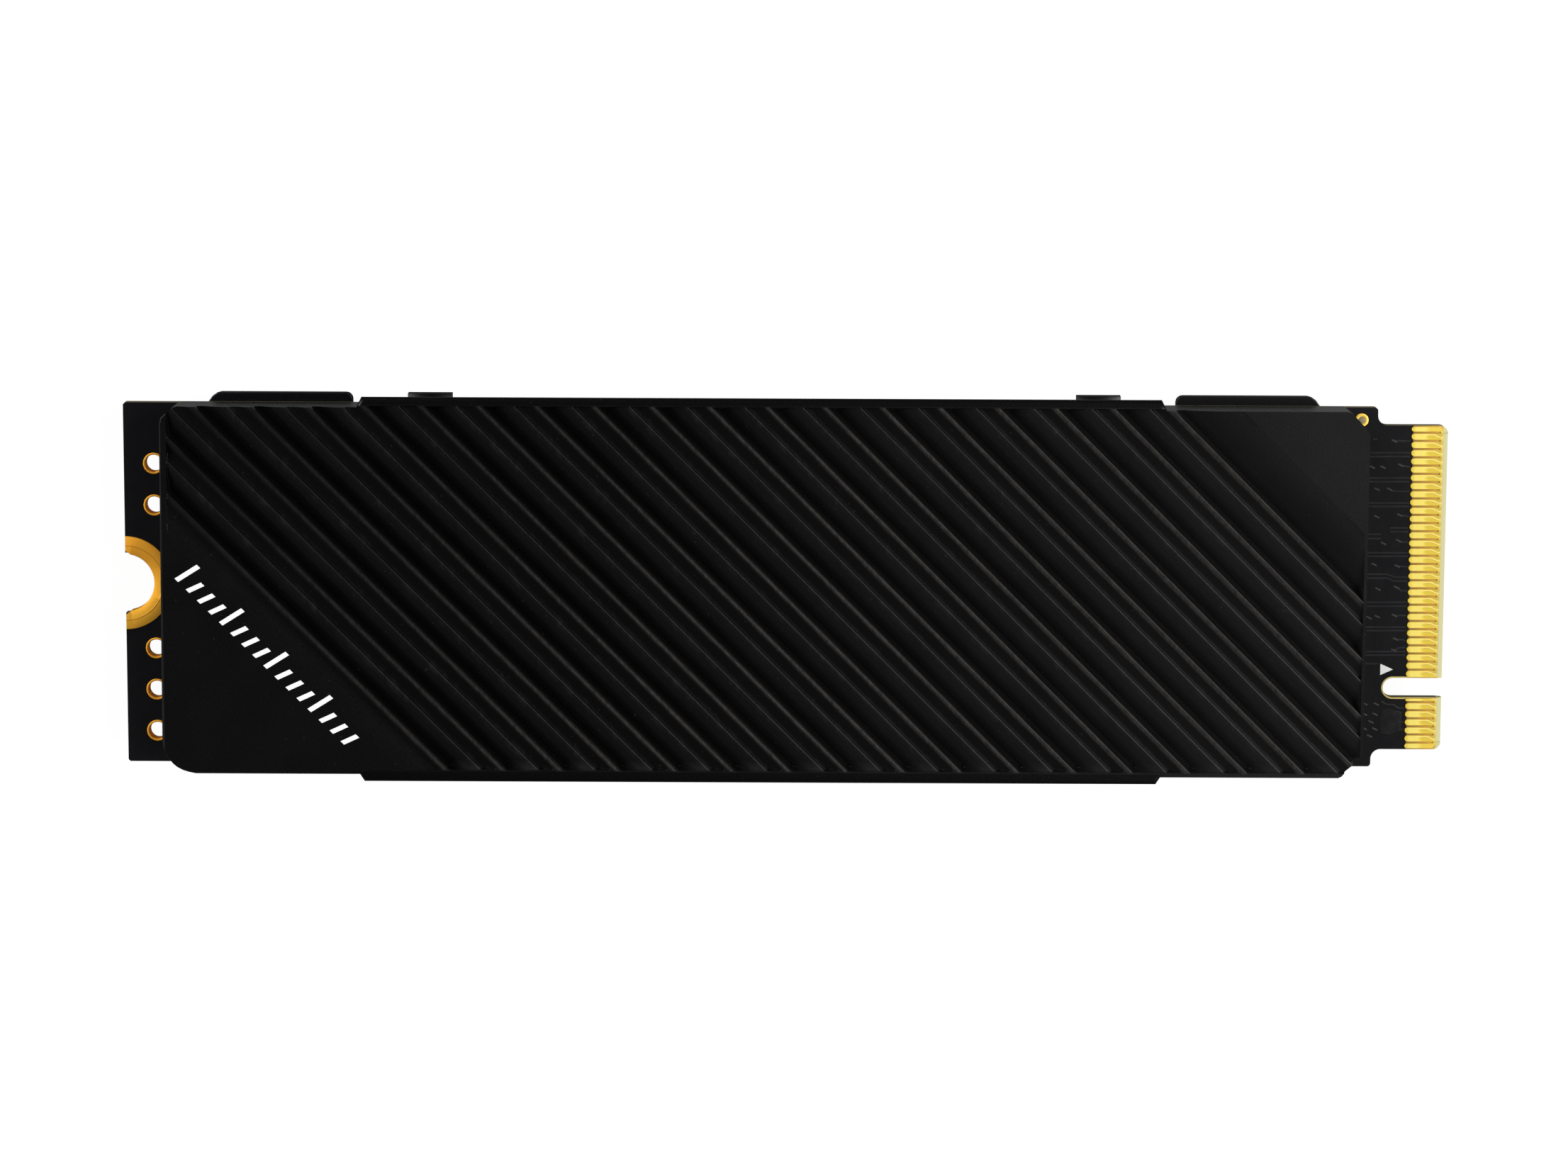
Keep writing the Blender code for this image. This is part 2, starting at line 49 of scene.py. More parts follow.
# Board
BOARD_LEFT, BOARD_RIGHT = -40.0, 40.0
BOARD_HALF_WIDTH = 11.0
BOARD_BOTTOM, BOARD_TOP = 2.1, 2.9
EAR_RIGHT, EAR_FILLET = 35.75, 0.6
TONGUE_HALF_WIDTH, TONGUE_CORNER = 9.925, 0.5
KEY_SLOT_Y, KEY_SLOT_WIDTH, KEY_SLOT_DEPTH = -6.125, 1.2, 3.6
TIP_CHAMFER = 0.32
NOTCH_RADIUS, NOTCH_FLARE = 1.75, 0.22
PLATE_GAP, PLATE_THICK, BARREL_WALL = 0.02, 0.06, 0.07
NOTCH_PAD_RADIUS = 2.85
HOLE_X = -38.18
HOLE_YS = (7.30, 4.76, -4.00, -6.54, -9.08)
HOLE_RADIUS, HOLE_PAD_RADIUS = 0.52, 0.65
EAR_VIA = (34.76, 10.25)
EAR_VIA_RADIUS, EAR_VIA_PAD_RADIUS = 0.2, 0.41

# Edge contacts
CONTACT_PITCH, CONTACT_WIDTH = 0.5, 0.405
CONTACT_INNER_X, CONTACT_STRIP_X, CONTACT_TIP_X = 37.78, 39.54, 39.68
TOP_FIRST_Y, BOTTOM_FIRST_Y = 9.25, 9.0
LONG_COUNT = 29
TOP_SHORT_FIRST_Y, TOP_SHORT_COUNT = -7.25, 5
BOTTOM_SHORT_FIRST_Y, BOTTOM_SHORT_COUNT = -7.5, 4
SIDE_PAD_MARGIN = 0.055

# Heatsink
SINK_LEFT, SINK_RIGHT, SINK_HALF_WIDTH = -37.42, 34.9, 11.08
SINK_CENTRE, SINK_LOW_Y = -1.3, -11.14
LIP_LEFT, LIP_RIGHT, LIP_LOW_Y, LIP_HIGH_Y = -25.65, 22.75, -11.64, 11.77
LIP_UNDERCUT = 0.24
SINK_TOP, LIP_BOTTOM, SINK_BOTTOM = 6.1, 5.0, 3.0
RIM_ROUND, END_ROUND, LIP_ROUND = 0.2, 0.06, 0.26
POCKET_HALF_LENGTH, POCKET_HALF_WIDTH, POCKET_TOP = 35.2, 10.0, 4.65
END_SLIT_TOP = 3.3

# Slanted fins. A line along a fin has one value of x + y all along it, and that
# value is what "across" means below.
RIB_COUNT, RIB_FIRST, RIB_STEP = 20, -31.27, 3.4505
FIELD_LEFT, FIELD_RIGHT, FIELD_LOW_Y, FIELD_HIGH_Y = -37.02, 34.72, -10.87, 11.2
# Distance beyond a crest, and depth there: the crest's steep side, the valley,
# the long hollow slope, the soft edge, the narrow groove and the next crest.
RIB_PROFILE = (
    (0.000, 0.018), (0.045, 0.044), (0.085, 0.105), (0.120, 0.250),
    (0.155, 0.500), (0.190, 0.740), (0.230, 0.860), (0.280, 0.890),
    (0.360, 0.850), (0.500, 0.735), (0.680, 0.600), (0.880, 0.470),
    (1.080, 0.362), (1.290, 0.270), (1.500, 0.195), (1.700, 0.138),
    (1.850, 0.104), (1.950, 0.086), (2.030, 0.082), (2.090, 0.093),
    (2.135, 0.122), (2.170, 0.172), (2.198, 0.240), (2.224, 0.330),
    (2.300, 0.336), (2.400, 0.332), (2.510, 0.320), (2.630, 0.298),
    (2.750, 0.264), (2.860, 0.222), (2.970, 0.174), (3.070, 0.128),
    (3.160, 0.084), (3.240, 0.046), (3.330, 0.018), (3.400, 0.010),
)
LEAD_IN = (
    (-3.30, -0.060), (-2.95, -0.012), (-2.60, 0.001), (-2.25, 0.008),
    (-1.90, 0.018), (-1.58, 0.030), (-1.30, 0.043), (-1.05, 0.057),
    (-0.84, 0.069), (-0.66, 0.078), (-0.50, 0.077), (-0.36, 0.060),
    (-0.24, 0.036), (-0.14, 0.018), (-0.06, 0.012),
)
RUN_OUT = RIB_PROFILE[:9] + (
    (0.500, 0.745), (0.680, 0.612), (0.880, 0.492), (1.100, 0.386),
    (1.340, 0.295), (1.600, 0.220), (1.900, 0.156), (2.240, 0.106),
    (2.640, 0.068), (3.100, 0.038), (3.600, 0.016), (4.150, 0.002),
    (4.700, -0.060),
)

# Lower shell
SHELL_HALF_LENGTH, SHELL_HALF_WIDTH, SHELL_CORNER = 33.6, 10.6, 1.2
SHELL_FLOOR, SHELL_TOP, SHELL_WALL = 0.6, 2.0, 0.9
TAB_INNER, TAB_OUTER, TAB_HALF_WIDTH, TAB_BOTTOM = 24.92, 33.63, 11.54, 1.2
ARM_INNER, ARM_OUTER, ARM_FACES, ARM_TOP = 18.9, 21.57, (11.0, 11.3), 4.7
FOOT_EDGE = 11.52
NOSE_DEPTH, NOSE_BOTTOM, NOSE_TOP, NOSE_CLEAR = 0.3, 3.9, 4.4, 0.15


# ---------------------------------------------------------------- mesh helpers


def arc(cx, cy, radius, start, end, steps):
    return [
        (
            cx + radius * math.cos(math.radians(start + (end - start) * i / steps)),
            cy + radius * math.sin(math.radians(start + (end - start) * i / steps)),
        )
        for i in range(steps + 1)
    ]


def circle(cx, cy, radius, steps=48):
    return arc(cx, cy, radius, 0, 360, steps)[:-1]


def rounded_rectangle(x0, x1, y0, y1, radius, steps=8):
    return (
        arc(x1 - radius, y0 + radius, radius, -90, 0, steps)
        + arc(x1 - radius, y1 - radius, radius, 0, 90, steps)
        + arc(x0 + radius, y1 - radius, radius, 90, 180, steps)
        + arc(x0 + radius, y0 + radius, radius, 180, 270, steps)
    )


def outline_mesh(name, loops, low, high):
    """A flat outline with any holes: an extruded 2D curve, welded into one closed mesh."""
    curve = bpy.data.curves.new(name, "CURVE")
    curve.dimensions = "2D"
    curve.fill_mode = "BOTH" if len(loops) > 1 else "NONE"
    curve.extrude = (high - low) / 2
    for loop in loops:
        spline = curve.splines.new("POLY")
        spline.points.add(len(loop) - 1)
        for point, (x, y) in zip(spline.points, loop):
            point.co = (x, y, 0, 1)
        spline.use_cyclic_u = True
    holder = bpy.data.objects.new(name, curve)
    bpy.context.scene.collection.objects.link(holder)
    graph = bpy.context.evaluated_depsgraph_get()
    mesh = bpy.data.meshes.new_from_object(holder.evaluated_get(graph))
    bpy.data.objects.remove(holder, do_unlink=True)
    bpy.data.curves.remove(curve)
    mesh.name = name
    cage = bmesh.new()
    cage.from_mesh(mesh)
    bmesh.ops.remove_doubles(cage, verts=cage.verts, dist=0.0005)
    bmesh.ops.translate(cage, verts=cage.verts, vec=(0, 0, (low + high) / 2))
    if len(loops) == 1:
        bmesh.ops.holes_fill(cage, edges=cage.edges, sides=0)
    bmesh.ops.recalc_face_normals(cage, faces=cage.faces)
    cage.to_mesh(mesh)
    cage.free()
    mesh.materials.clear()
    return mesh


def round_rims(mesh, heights, width, segments=2, where=None):
    """Rounds the outer edges that lie at these heights."""
    cage = bmesh.new()
    cage.from_mesh(mesh)
    rims = [
        edge
        for edge in cage.edges
        if any(all(abs(v.co.z - z) < 1e-4 for v in edge.verts) for z in heights)
        and edge.calc_face_angle(0) > 0.5
        and (where is None or where((edge.verts[0].co + edge.verts[1].co) / 2))
    ]
    bmesh.ops.bevel(
        cage,
        geom=rims,
        offset=width,
        segments=segments,
        profile=0.5,
        affect="EDGES",
        clamp_overlap=True,
    )
    cage.to_mesh(mesh)
    cage.free()


def box_mesh(name, low, high):
    low, high = Vector(low), Vector(high)
    cage = bmesh.new()
    bmesh.ops.create_cube(cage, size=1)
    bmesh.ops.scale(cage, verts=cage.verts, vec=high - low)
    bmesh.ops.translate(cage, verts=cage.verts, vec=(low + high) / 2)
    mesh = bpy.data.meshes.new(name)
    cage.to_mesh(mesh)
    cage.free()
    return mesh


def shape(name, mesh):
    """A working object, still in millimetres."""
    obj = bpy.data.objects.new(name, mesh)
    bpy.context.scene.collection.objects.link(obj)
    return obj


def baked(obj):
    """The object's mesh with its modifiers applied; the object is removed."""
    graph = bpy.context.evaluated_depsgraph_get()
    mesh = bpy.data.meshes.new_from_object(obj.evaluated_get(graph))
    old = obj.data
    bpy.data.objects.remove(obj, do_unlink=True)
    bpy.data.meshes.remove(old)
    return mesh


def combined(mesh, others, operation="DIFFERENCE"):
    """The mesh after booleans with the other meshes, in turn."""
    body = shape("body", mesh)
    held = []
    for other in others:
        cutter = shape("cutter", other)
        cutter.hide_render = True
        held.append(cutter)
        modifier = body.modifiers.new("cut", "BOOLEAN")
        modifier.operation = operation
        modifier.solver = "EXACT"
        modifier.object = cutter
    made = baked(body)
    for cutter in held:
        old = cutter.data
        bpy.data.objects.remove(cutter, do_unlink=True)
        bpy.data.meshes.remove(old)
    return made


def bevelled(mesh, width, segments=3, angle=35):
    body = shape("body", mesh)
    modifier = body.modifiers.new("edges", "BEVEL")
    modifier.width = width
    modifier.segments = segments
    modifier.limit_method = "ANGLE"
    modifier.angle_limit = math.radians(angle)
    modifier.use_clamp_overlap = True
    return baked(body)


def cleaned(mesh, distance=0.0004):
    cage = bmesh.new()
    cage.from_mesh(mesh)
    bmesh.ops.remove_doubles(cage, verts=cage.verts, dist=distance)
    bmesh.ops.dissolve_degenerate(cage, edges=cage.edges, dist=distance)
    cage.to_mesh(mesh)
    cage.free()
    return mesh


def piece(name, mesh, material, replaces=(), smooth=38):
    """A finished piece: scaled to metres, shaded, riding on the frame."""
    mesh.transform(Matrix.Scale(MM, 4))
    mesh.name = name
    mesh.materials.clear()
    mesh.materials.append(material)
    mesh.shade_smooth()
    mesh.set_sharp_from_angle(angle=math.radians(smooth))
    obj = bpy.data.objects.new(name, mesh)
    bpy.context.scene.collection.objects.link(obj)
    # Keeps the large flats flat beside their rounded edges.
    weigh = obj.modifiers.new("weighted normals", "WEIGHTED_NORMAL")
    weigh.mode = "FACE_AREA"
    weigh.weight = 100
    weigh.keep_sharp = True
    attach(obj, "root")
    for node in replaces:
        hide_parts(node)
    return obj


def joined(meshes, name):
    cage = bmesh.new()
    for mesh in meshes:
        cage.from_mesh(mesh)
        bpy.data.meshes.remove(mesh)
    mesh = bpy.data.meshes.new(name)
    cage.to_mesh(mesh)
    cage.free()
    return mesh


def turned_mesh(name, profile, centre, steps):
    """A closed profile of (radius, z) points, turned about a vertical axis."""
    cage = bmesh.new()
    rings = []
    for k in range(steps):
        a = math.tau * k / steps
        rings.append(
            [
                cage.verts.new(
                    (centre[0] + r * math.cos(a), centre[1] + r * math.sin(a), z)
                )
                for r, z in profile
            ]
        )
    count = len(profile)
    for k in range(steps):
        a, b = rings[k], rings[(k + 1) % steps]
        for i in range(count):
            j = (i + 1) % count
            cage.faces.new((a[i], b[i], b[j], a[j]))
    bmesh.ops.recalc_face_normals(cage, faces=cage.faces)
    mesh = bpy.data.meshes.new(name)
    cage.to_mesh(mesh)
    cage.free()
    return mesh


# ------------------------------------------------------------ material helpers


class Nodes:
    """Short calls for building a material's nodes."""

    def __init__(self, name):
        self.material = bpy.data.materials.new(name)
        self.material.use_nodes = True
        self.tree = self.material.node_tree
        self.tree.nodes.clear()
        self.out = self.add("ShaderNodeOutputMaterial")
        self.shader = self.add("ShaderNodeBsdfPrincipled")
        self.join(self.shader.outputs[0], self.out.inputs["Surface"])
        where = self.add("ShaderNodeTexCoord")
        scale = self.add("ShaderNodeVectorMath", operation="SCALE")
        self.join(where.outputs["Object"], scale.inputs[0])
        scale.inputs["Scale"].default_value = 1000.0
        self.mm = scale.outputs["Vector"]
        self._xyz = None

    def add(self, kind, **settings):
        node = self.tree.nodes.new(kind)
        for key, value in settings.items():
            setattr(node, key, value)
        return node

    def join(self, a, b):
        self.tree.links.new(a, b)

    def put(self, socket, value):
        if isinstance(value, bpy.types.NodeSocket):
            self.join(value, socket)
        else:
            socket.default_value = value

    def xyz(self):
        if self._xyz is None:
            self._xyz = self.add("ShaderNodeSeparateXYZ")
            self.join(self.mm, self._xyz.inputs[0])
        return self._xyz.outputs

    def math(self, operation, a, b=None, c=None, clamp=False):
        node = self.add("ShaderNodeMath", operation=operation, use_clamp=clamp)
        for socket, value in zip(node.inputs, (a, b, c)):
            if value is not None:
                self.put(socket, value)
        return node.outputs[0]

    def noise(self, scale, detail=3.0, roughness=0.55, stretch=None, seed=0.0):
        """Noise that is about 0.5 on average; scale is per millimetre."""
        node = self.add("ShaderNodeTexNoise", noise_dimensions="4D")
        node.inputs["Scale"].default_value = scale
        node.inputs["Detail"].default_value = detail
        node.inputs["Roughness"].default_value = roughness
        node.inputs["W"].default_value = seed
        vector = self.mm
        if stretch:
            mapping = self.add("ShaderNodeMapping")
            mapping.inputs["Rotation"].default_value = (0, 0, stretch[1])
            mapping.inputs["Scale"].default_value = stretch[0]
            self.join(self.mm, mapping.inputs["Vector"])
            vector = mapping.outputs["Vector"]
        self.join(vector, node.inputs["Vector"])
        return node.outputs[0]

    def remap(self, value, low, high, out_low=0.0, out_high=1.0, smooth=False):
        node = self.add("ShaderNodeMapRange")
        node.interpolation_type = "SMOOTHSTEP" if smooth else "LINEAR"
        node.clamp = True
        self.put(node.inputs["Value"], value)
        for key, number in (
            ("From Min", low),
            ("From Max", high),
            ("To Min", out_low),
            ("To Max", out_high),
        ):
            self.put(node.inputs[key], number)
        return node.outputs[0]

    def mix(self, factor, a, b):
        node = self.add("ShaderNodeMix", data_type="RGBA")
        self.put(node.inputs["Factor"], factor)
        self.put(node.inputs["A"], a if not isinstance(a, tuple) else (*a, 1))
        self.put(node.inputs["B"], b if not isinstance(b, tuple) else (*b, 1))
        return node.outputs["Result"]

    def bump(self, height, distance, strength=1.0, under=None):
        """distance is in millimetres."""
        node = self.add("ShaderNodeBump")
        node.inputs["Strength"].default_value = strength
        node.inputs["Distance"].default_value = distance * MM
        self.put(node.inputs["Height"], height)
        if under is not None:
            self.join(under, node.inputs["Normal"])
        return node.outputs["Normal"]

    def set(self, **values):
        for key, value in values.items():
            self.put(self.shader.inputs[key.replace("_", " ")], value)
        return self.material


def anodised_material():
    n = Nodes("black_anodised_aluminium")
    x, y, z = n.xyz()
    fine = n.noise(9.0, 4.0, 0.6)
    grain = n.noise(24.0, 2.0, 0.5, seed=3.0)
    cloud = n.noise(0.35, 3.0, 0.55, seed=7.0)
    # Painted light: the colour is paler towards the connector, where the light falls brighter.
    painted_light_to_connector = n.remap(x, -12.0, 37.0)
    deep = n.mix(painted_light_to_connector, (0.0019, 0.0019, 0.0022), (0.0080, 0.0075, 0.0079))
    pale = n.mix(painted_light_to_connector, (0.0028, 0.0026, 0.0028), (0.0095, 0.0089, 0.0091))
    base = n.mix(n.remap(cloud, 0.3, 0.7, smooth=True), deep, pale)
    # Crest wear and painted highlight: along each fin's crest, broken up along its length.
    across = n.math("ADD", x, y)
    phase = n.math("SUBTRACT", across, RIB_FIRST)
    # The stripe of wear and painted highlight lies on the crest's steep side near the
    # notch, and before the crest near the connector.
    offset = n.remap(x, -2.0, 24.0, 0.01 + RIB_STEP * 8, 0.19 + RIB_STEP * 8)
    turn = n.math("PINGPONG", n.math("ADD", phase, offset), RIB_STEP / 2)
    beyond = n.math("MODULO", n.math("ADD", phase, RIB_STEP * 8), RIB_STEP)
    along = n.noise(0.8, 4.0, 0.65, ((1.0, 0.22, 1.0), -math.pi / 4), 11.0)
    fray = n.noise(6.0, 3.0, 0.6, ((1.0, 0.35, 1.0), -math.pi / 4), 13.0)
    reach = n.remap(along, 0.35, 0.7, 0.24, 0.40)
    crest = n.remap(turn, reach, 0.06, smooth=True)
    crest = n.math("MULTIPLY", crest, n.remap(fray, 0.30, 0.64, 0.28, 1.0))
    # Painted light: the stripe is dimmest beside the notch, where the light falls weakest.
    painted_light_falloff = n.remap(n.math("MULTIPLY_ADD", y, -0.6, x), -40.0, 0.0, 0.10, 1.0)
    crest = n.math("MULTIPLY", crest, painted_light_falloff)
    # The soft edge of the wide fin wears in spots, and carries a painted highlight.
    soft_edge = n.math("ABSOLUTE", n.math("SUBTRACT", beyond, 2.05))
    edge = n.remap(soft_edge, 0.55, 0.12, smooth=True)
    spots = n.remap(n.noise(1.9, 3.0, 0.6, ((1.0, 0.4, 1.0), -math.pi / 4), 17.0), 0.5, 0.72)
    edge = n.math("MULTIPLY", edge, n.math("MULTIPLY_ADD", spots, 0.6, 0.15))
    near_top = n.remap(z, SINK_TOP - 0.75, SINK_TOP - 0.25)
    first = n.remap(across, RIB_FIRST - 0.55, RIB_FIRST - 0.35)
    last_crest = RIB_FIRST + (RIB_COUNT - 1) * RIB_STEP
    last = n.remap(across, last_crest + 0.4, last_crest + 0.25)
    in_field = n.math("MULTIPLY", n.math("MULTIPLY", first, last), near_top)
    # The border around the fins is hardly rubbed, and gets no painted highlight.
    for value, low, high in ((y, -10.95, -10.85), (y, 11.26, 11.14), (x, 34.66, 34.5), (x, -37.05, -36.7)):
        in_field = n.math("MULTIPLY", in_field, n.remap(value, low, high))
    # Wear and painted highlight together, on the crests and the soft edges.
    wear_and_highlight = n.math("MULTIPLY", n.math("ADD", crest, n.math("MULTIPLY", edge, 0.34)), in_field)
    wear_and_highlight = n.math("MINIMUM", wear_and_highlight, 1.0)
    # Painted light: the wide fins are painted paler where they run out at the lower lip.
    painted_light_run_out = n.math("MULTIPLY", n.remap(y, -10.27, -10.72), n.remap(y, -10.92, -10.85))
    painted_light_run_out = n.math("MULTIPLY", painted_light_run_out, n.remap(beyond, 0.9, 1.5, smooth=True))
    painted_light_run_out = n.math("MULTIPLY", painted_light_run_out, n.remap(beyond, 2.25, 2.15))
    painted_light_run_out = n.math("MULTIPLY", painted_light_run_out, n.remap(along, 0.3, 0.6, 0.35, 0.9))
    painted_light_run_out = n.math("MULTIPLY", painted_light_run_out, n.math("MULTIPLY", first, last))
    base = n.mix(painted_light_run_out, base, (0.0135, 0.0130, 0.0125))
    # Painted light: the valleys are painted a little paler; painted shade: the narrow grooves are painted blacker.
    painted_valley_light = n.math("MULTIPLY", n.remap(beyond, 0.05, 0.13), n.remap(beyond, 0.9, 0.4))
    painted_valley_light = n.math("MULTIPLY", painted_valley_light, n.remap(across, RIB_FIRST - 0.05, RIB_FIRST + 0.05))
    painted_valley_light = n.math("MULTIPLY", painted_valley_light, n.remap(across, last_crest + 2.0, last_crest + 1.5))
    inside = n.math("MULTIPLY", n.remap(y, FIELD_LOW_Y - 0.05, FIELD_LOW_Y + 0.05), n.remap(y, 11.24, 11.14))
    inside = n.math("MULTIPLY", inside, n.remap(x, FIELD_RIGHT + 0.02, FIELD_RIGHT - 0.06))
    inside = n.math("MULTIPLY", inside, n.remap(x, FIELD_LEFT - 0.02, FIELD_LEFT + 0.06))
    painted_valley_light = n.math("MULTIPLY", painted_valley_light, inside)
    painted_valley_light_colour = n.mix(painted_light_to_connector, (0.0041, 0.0040, 0.0052), (0.0163, 0.0154, 0.0166))
    base = n.mix(n.math("MULTIPLY", painted_valley_light, 0.36), base, painted_valley_light_colour)
    # Painted shade: the black that the grooves, the flat beyond the last fin and the borders are darkened towards.
    painted_shade_black = (0.0003, 0.0003, 0.0006)
    groove = n.math("MULTIPLY", n.remap(beyond, 2.13, 2.23), n.remap(beyond, 3.28, 2.95))
    groove = n.math("MULTIPLY", groove, n.remap(across, RIB_FIRST - 1.5, RIB_FIRST - 0.75, smooth=True))
    groove = n.math("MULTIPLY", groove, n.math("MULTIPLY_ADD", painted_light_to_connector, -0.27, 0.6))
    groove = n.math("MULTIPLY", groove, inside)
    base = n.mix(n.math("MULTIPLY", groove, last), base, painted_shade_black)
    # Painted shade also darkens the flat beyond the last fin, the lips' borders and the lower half of the right-hand
    # border.
    shaded = n.math("MULTIPLY", n.remap(across, last_crest + 8.0, last_crest + 1.4), n.remap(across, last_crest + 0.7, last_crest + 1.3))
    base = n.mix(n.math("MULTIPLY", shaded, 0.36), base, painted_shade_black)
    border = n.math("ADD", n.remap(y, 11.2, 11.3), n.remap(y, -10.9, -11.02))
    border = n.math("MULTIPLY", border, n.remap(x, LIP_LEFT - 0.1, LIP_LEFT + 0.3))
    border = n.math("MULTIPLY", border, n.remap(x, LIP_RIGHT + 0.1, LIP_RIGHT - 0.3))
    right_border = n.math("MULTIPLY", n.remap(x, 34.66, 34.76), n.remap(y, 0.5, -1.0))
    border = n.math("ADD", n.math("MULTIPLY", border, 0.8), n.math("MULTIPLY", right_border, 0.5))
    base = n.mix(border, base, painted_shade_black)
    # The colour of wear and painted highlight on the crests and soft edges.
    colour = n.mix(wear_and_highlight, base, (0.0275, 0.0262, 0.0236))
    speck = n.remap(n.noise(5.5, 1.0, 0.4, seed=23.0), 0.735, 0.78)
    colour = n.mix(n.math("MULTIPLY", speck, 0.5), colour, (0.02, 0.02, 0.018))
    rough = n.math("ADD", n.remap(fine, 0.3, 0.7, 0.22, 0.30), n.math("MULTIPLY", wear_and_highlight, 0.10))
    # The end beside the notch is duller.
    rough = n.math("MULTIPLY_ADD", n.remap(x, -37.32, -37.38), 0.30, rough)
    normal = n.bump(grain, 0.006, 0.6)
    normal = n.bump(fine, 0.012, 0.5, normal)
    return n.set(
        Base_Color=colour, Roughness=rough, Normal=normal, Metallic=0.0, IOR=1.31
    )


def mask_material():
    n = Nodes("solder_mask_board")
    x, y, z = n.xyz()
    geometry = n.add("ShaderNodeNewGeometry")
    facing = n.add("ShaderNodeSeparateXYZ")
    n.join(geometry.outputs["Normal"], facing.inputs[0])
    flat = n.remap(n.math("ABSOLUTE", facing.outputs["Z"]), 0.97, 0.99)
    weave = n.noise(2.2, 2.0, 0.5, ((1.0, 1.0, 1.0), 0.0), 2.0)
    wave = n.noise(0.9, 2.0, 0.5, seed=4.0)
    mask_colour = n.mix(n.remap(wave, 0.35, 0.65), (0.0044, 0.0046, 0.0058), (0.0062, 0.0060, 0.0068))
    strands = n.add("ShaderNodeTexWave", wave_type="BANDS", bands_direction="Z")
    strands.inputs["Scale"].default_value = 2.2
    strands.inputs["Distortion"].default_value = 3.0
    strands.inputs["Detail"].default_value = 2.0
    strands.inputs["Detail Scale"].default_value = 1.5
    n.join(n.mm, strands.inputs["Vector"])
    laminate_edge = n.mix(strands.outputs["Fac"], (0.125, 0.105, 0.050), (0.21, 0.185, 0.10))
    outward = n.remap(n.math("MULTIPLY_ADD", weave, 0.6, x), 38.1, 39.8)
    laminate_flat = n.mix(outward, (0.24, 0.115, 0.016), (0.58, 0.325, 0.060))
    # Bare laminate between and beyond the contacts, and pale on the bevelled tip.
    bare = n.remap(x, 37.86, 37.96)
    tip = n.remap(x, BOARD_RIGHT - TIP_CHAMFER - 0.02, BOARD_RIGHT - TIP_CHAMFER + 0.02)
    top = n.mix(bare, mask_colour, laminate_flat)
    colour = n.mix(flat, laminate_edge, top)
    colour = n.mix(tip, colour, (0.55, 0.52, 0.27))
    # The mask stops just short of the key slot's edge.
    slot_x = BOARD_RIGHT - KEY_SLOT_DEPTH + KEY_SLOT_WIDTH / 2
    sx = n.math("MAXIMUM", n.math("SUBTRACT", slot_x, x), 0.0)
    sy = n.math("SUBTRACT", y, KEY_SLOT_Y)
    away = n.math("SQRT", n.math("ADD", n.math("MULTIPLY", sx, sx), n.math("MULTIPLY", sy, sy)))
    rim = n.remap(away, KEY_SLOT_WIDTH / 2 + 0.10, KEY_SLOT_WIDTH / 2 + 0.075)
    rim = n.math("MULTIPLY", rim, n.remap(z, BOARD_TOP - 0.09, BOARD_TOP - 0.07))
    colour = n.mix(rim, colour, (0.60, 0.47, 0.15))
    coated = n.math("MULTIPLY", flat, n.math("SUBTRACT", 1.0, bare))
    rough = n.math("MULTIPLY_ADD", coated, -0.42, 0.6)
    normal = n.bump(weave, 0.004, 0.5)
    normal = n.bump(wave, 0.02, 0.5, normal)
    return n.set(Base_Color=colour, Roughness=rough, Normal=normal, IOR=1.44)


def trace_material(name, low, high):
    n = Nodes(name)
    wave = n.noise(1.4, 2.0, 0.5, seed=5.0)
    colour = n.mix(wave, low, high)
    return n.set(
        Base_Color=colour,
        Roughness=n.remap(wave, 0.3, 0.7, 0.2, 0.28),
        Normal=n.bump(n.noise(8.0, 2.0), 0.004, 0.5),
        IOR=1.5,
    )


def land_gold_material():
    n = Nodes("gold_land_plating")
    x, y, z = n.xyz()
    cloud = n.noise(1.3, 3.0, 0.6, seed=1.0)
    fine = n.noise(11.0, 3.0, 0.6, seed=9.0)
    colour = n.mix(cloud, (0.90, 0.42, 0.036), (0.98, 0.49, 0.055))
    # A faint ring where a screw's head has sat.
    dx = n.math("SUBTRACT", x, BOARD_LEFT)
    radius = n.math("SQRT", n.math("ADD", n.math("MULTIPLY", dx, dx), n.math("MULTIPLY", y, y)))
    ring = n.remap(n.math("ABSOLUTE", n.math("SUBTRACT", radius, 2.28)), 0.07, 0.0, smooth=True)
    # Painted light: the land is painted lighter towards its lower side.
    painted_light_low_side = n.math("MULTIPLY", n.remap(y, 1.0, -2.4), n.remap(y, -3.4, -3.0))
    colour = n.mix(n.math("MULTIPLY", painted_light_low_side, 0.8), colour, (1.0, 0.56, 0.062))
    colour = n.mix(n.math("MULTIPLY", ring, 0.45), colour, (0.50, 0.22, 0.03))
    normal = n.bump(fine, 0.008, 0.5)
    normal = n.bump(ring, 0.015, 0.5, normal)
    return n.set(
        Base_Color=colour,
        Metallic=1.0,
        Roughness=n.remap(fine, 0.3, 0.7, 0.54, 0.64),
        Normal=normal,
    )


